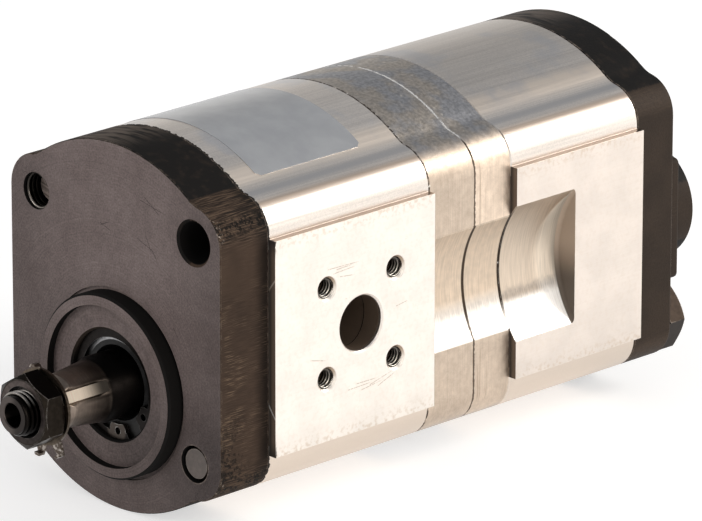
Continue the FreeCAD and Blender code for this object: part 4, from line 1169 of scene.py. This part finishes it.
coat(key_steel(), "woodruff_key")
coat(washer_steel(), "tab_washer")
coat(nut_steel(), "shaft_nut")


# Studio: plain pale floor, white surroundings and soft lamps, seen from the photograph's side.
# The camera stands 2 m away with a long lens, as fitted to the flange square and the port screws.
camera_azimuth = math.radians(45.887)
camera_elevation = math.radians(18.637)
camera_roll = math.radians(-0.067)
camera_distance = 2.01444
camera_shift = (-0.003646, 0.000085)
camera_aim = mathutils.Vector((0.0, 0.080, 0.015))
focal_pixels = 7573.94
picture_width = 702
sensor_width = 36.0
floor_half = 4.0


def camera_axes():
    """The camera's right, up and back in the frame, with its small roll."""
    across, along = math.cos(camera_azimuth), math.sin(camera_azimuth)
    level, rise = math.cos(camera_elevation), math.sin(camera_elevation)
    right = mathutils.Vector((across, along, 0.0))
    back = mathutils.Vector((along * level, -across * level, rise))
    up = back.cross(right)
    straight, leaning = math.cos(camera_roll), math.sin(camera_roll)
    return straight * right - leaning * up, leaning * right + straight * up, back


def floor_paper():
    """Matt white paper that shows as white to the camera and in metal, and keeps the shadow."""
    made = finish("floor_paper", 0.9, specular=0.1)[0]
    tree = made.node_tree
    skin = tree.nodes["Principled BSDF"]
    skin.inputs["Base Color"].default_value = (0.62, 0.615, 0.61, 1.0)
    path = node("ShaderNodeLightPath", {}, tree)
    seen = calculate("ADD", path["Is Camera Ray"], path["Is Glossy Ray"], clamp=True)
    seen = calculate("ADD", seen, path["Is Transmission Ray"], clamp=True)
    glow = node("ShaderNodeEmission", {"Strength": seen * 0.56})[0]
    both = node("ShaderNodeAddShader", {0: Value(skin.outputs[0]), 1: glow})[0]
    tree.links.new(both.socket, tree.nodes["Material Output"].inputs["Surface"])
    return made


def softbox(name, place, size, watts, colour):
    """A square soft lamp that faces the pump."""
    lamp = bpy.data.lights.new(name, "AREA")
    lamp.shape = "RECTANGLE"
    lamp.size, lamp.size_y = size
    lamp.energy = watts
    lamp.color = colour
    made = new_object(name, lamp)
    made.location = place
    made.rotation_euler = (mathutils.Vector(place) - camera_aim).to_track_quat("Z", "Y").to_euler()


right, up, back = camera_axes()
lens = bpy.data.cameras.new("camera")
lens.sensor_width = sensor_width
lens.lens = focal_pixels * sensor_width / picture_width
lens.clip_end = 50.0
camera = new_object("camera", lens)
turn = mathutils.Matrix((right, up, back)).transposed().to_4x4()
stand = camera_aim - right * camera_shift[0] - up * camera_shift[1] + back * camera_distance
camera.matrix_world = mathutils.Matrix.Translation(stand) @ turn
bpy.context.scene.camera = camera

floor_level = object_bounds()[0][2]
square = ((-1, -1), (1, -1), (1, 1), (-1, 1))
floor_corners = [(x * floor_half, y * floor_half, floor_level) for x, y in square]
floor_mesh = bpy.data.meshes.new("floor")
floor_mesh.from_pydata(floor_corners, [], [(0, 1, 2, 3)])
floor_mesh.materials.append(floor_paper())
floor = new_object("floor", floor_mesh)

world = bpy.data.worlds.new("studio")
world.use_nodes = True
bpy.context.scene.world = world
sky = world.node_tree
sky.nodes.clear()
path = node("ShaderNodeLightPath", {}, sky)
skyward = parts(node("ShaderNodeTexCoord", {}, sky)["Generated"])[2]
strength = ramp(skyward, 0.13, 0.36, 1.0, 0.365) * ramp(skyward, 0.36, 0.56, 1.0, 1.5)
strength = strength * ramp(skyward, 0.66, 0.8, 1.0, 0.72) * 0.95
ceiling = blend(ramp(skyward, 0.1, 0.8), rgb(255, 252, 248), rgb(238, 242, 248))
room = node("ShaderNodeBackground", {"Color": ceiling, "Strength": strength})[0]
white = node("ShaderNodeBackground", {"Color": (1.0, 1.0, 1.0, 1.0), "Strength": 1.0}, sky)[0]
seen = calculate("ADD", path["Is Camera Ray"], path["Is Transmission Ray"], clamp=True)
surroundings = node("ShaderNodeMixShader", {0: seen, 1: room, 2: white})[0]
node("ShaderNodeOutputWorld", {0: surroundings})

softbox("key", (0.95, 1.22, 0.90), (0.8, 0.7), 16.0, (1.0, 0.96, 0.91))
softbox("side", (1.4, -0.1, 0.45), (0.9, 0.7), 8.0, (1.0, 0.95, 0.89))
softbox("front", (-0.5, -1.4, 0.7), (0.8, 0.8), 7.0, (1.0, 0.97, 0.95))

bpy.context.scene.view_settings.view_transform = "Standard"
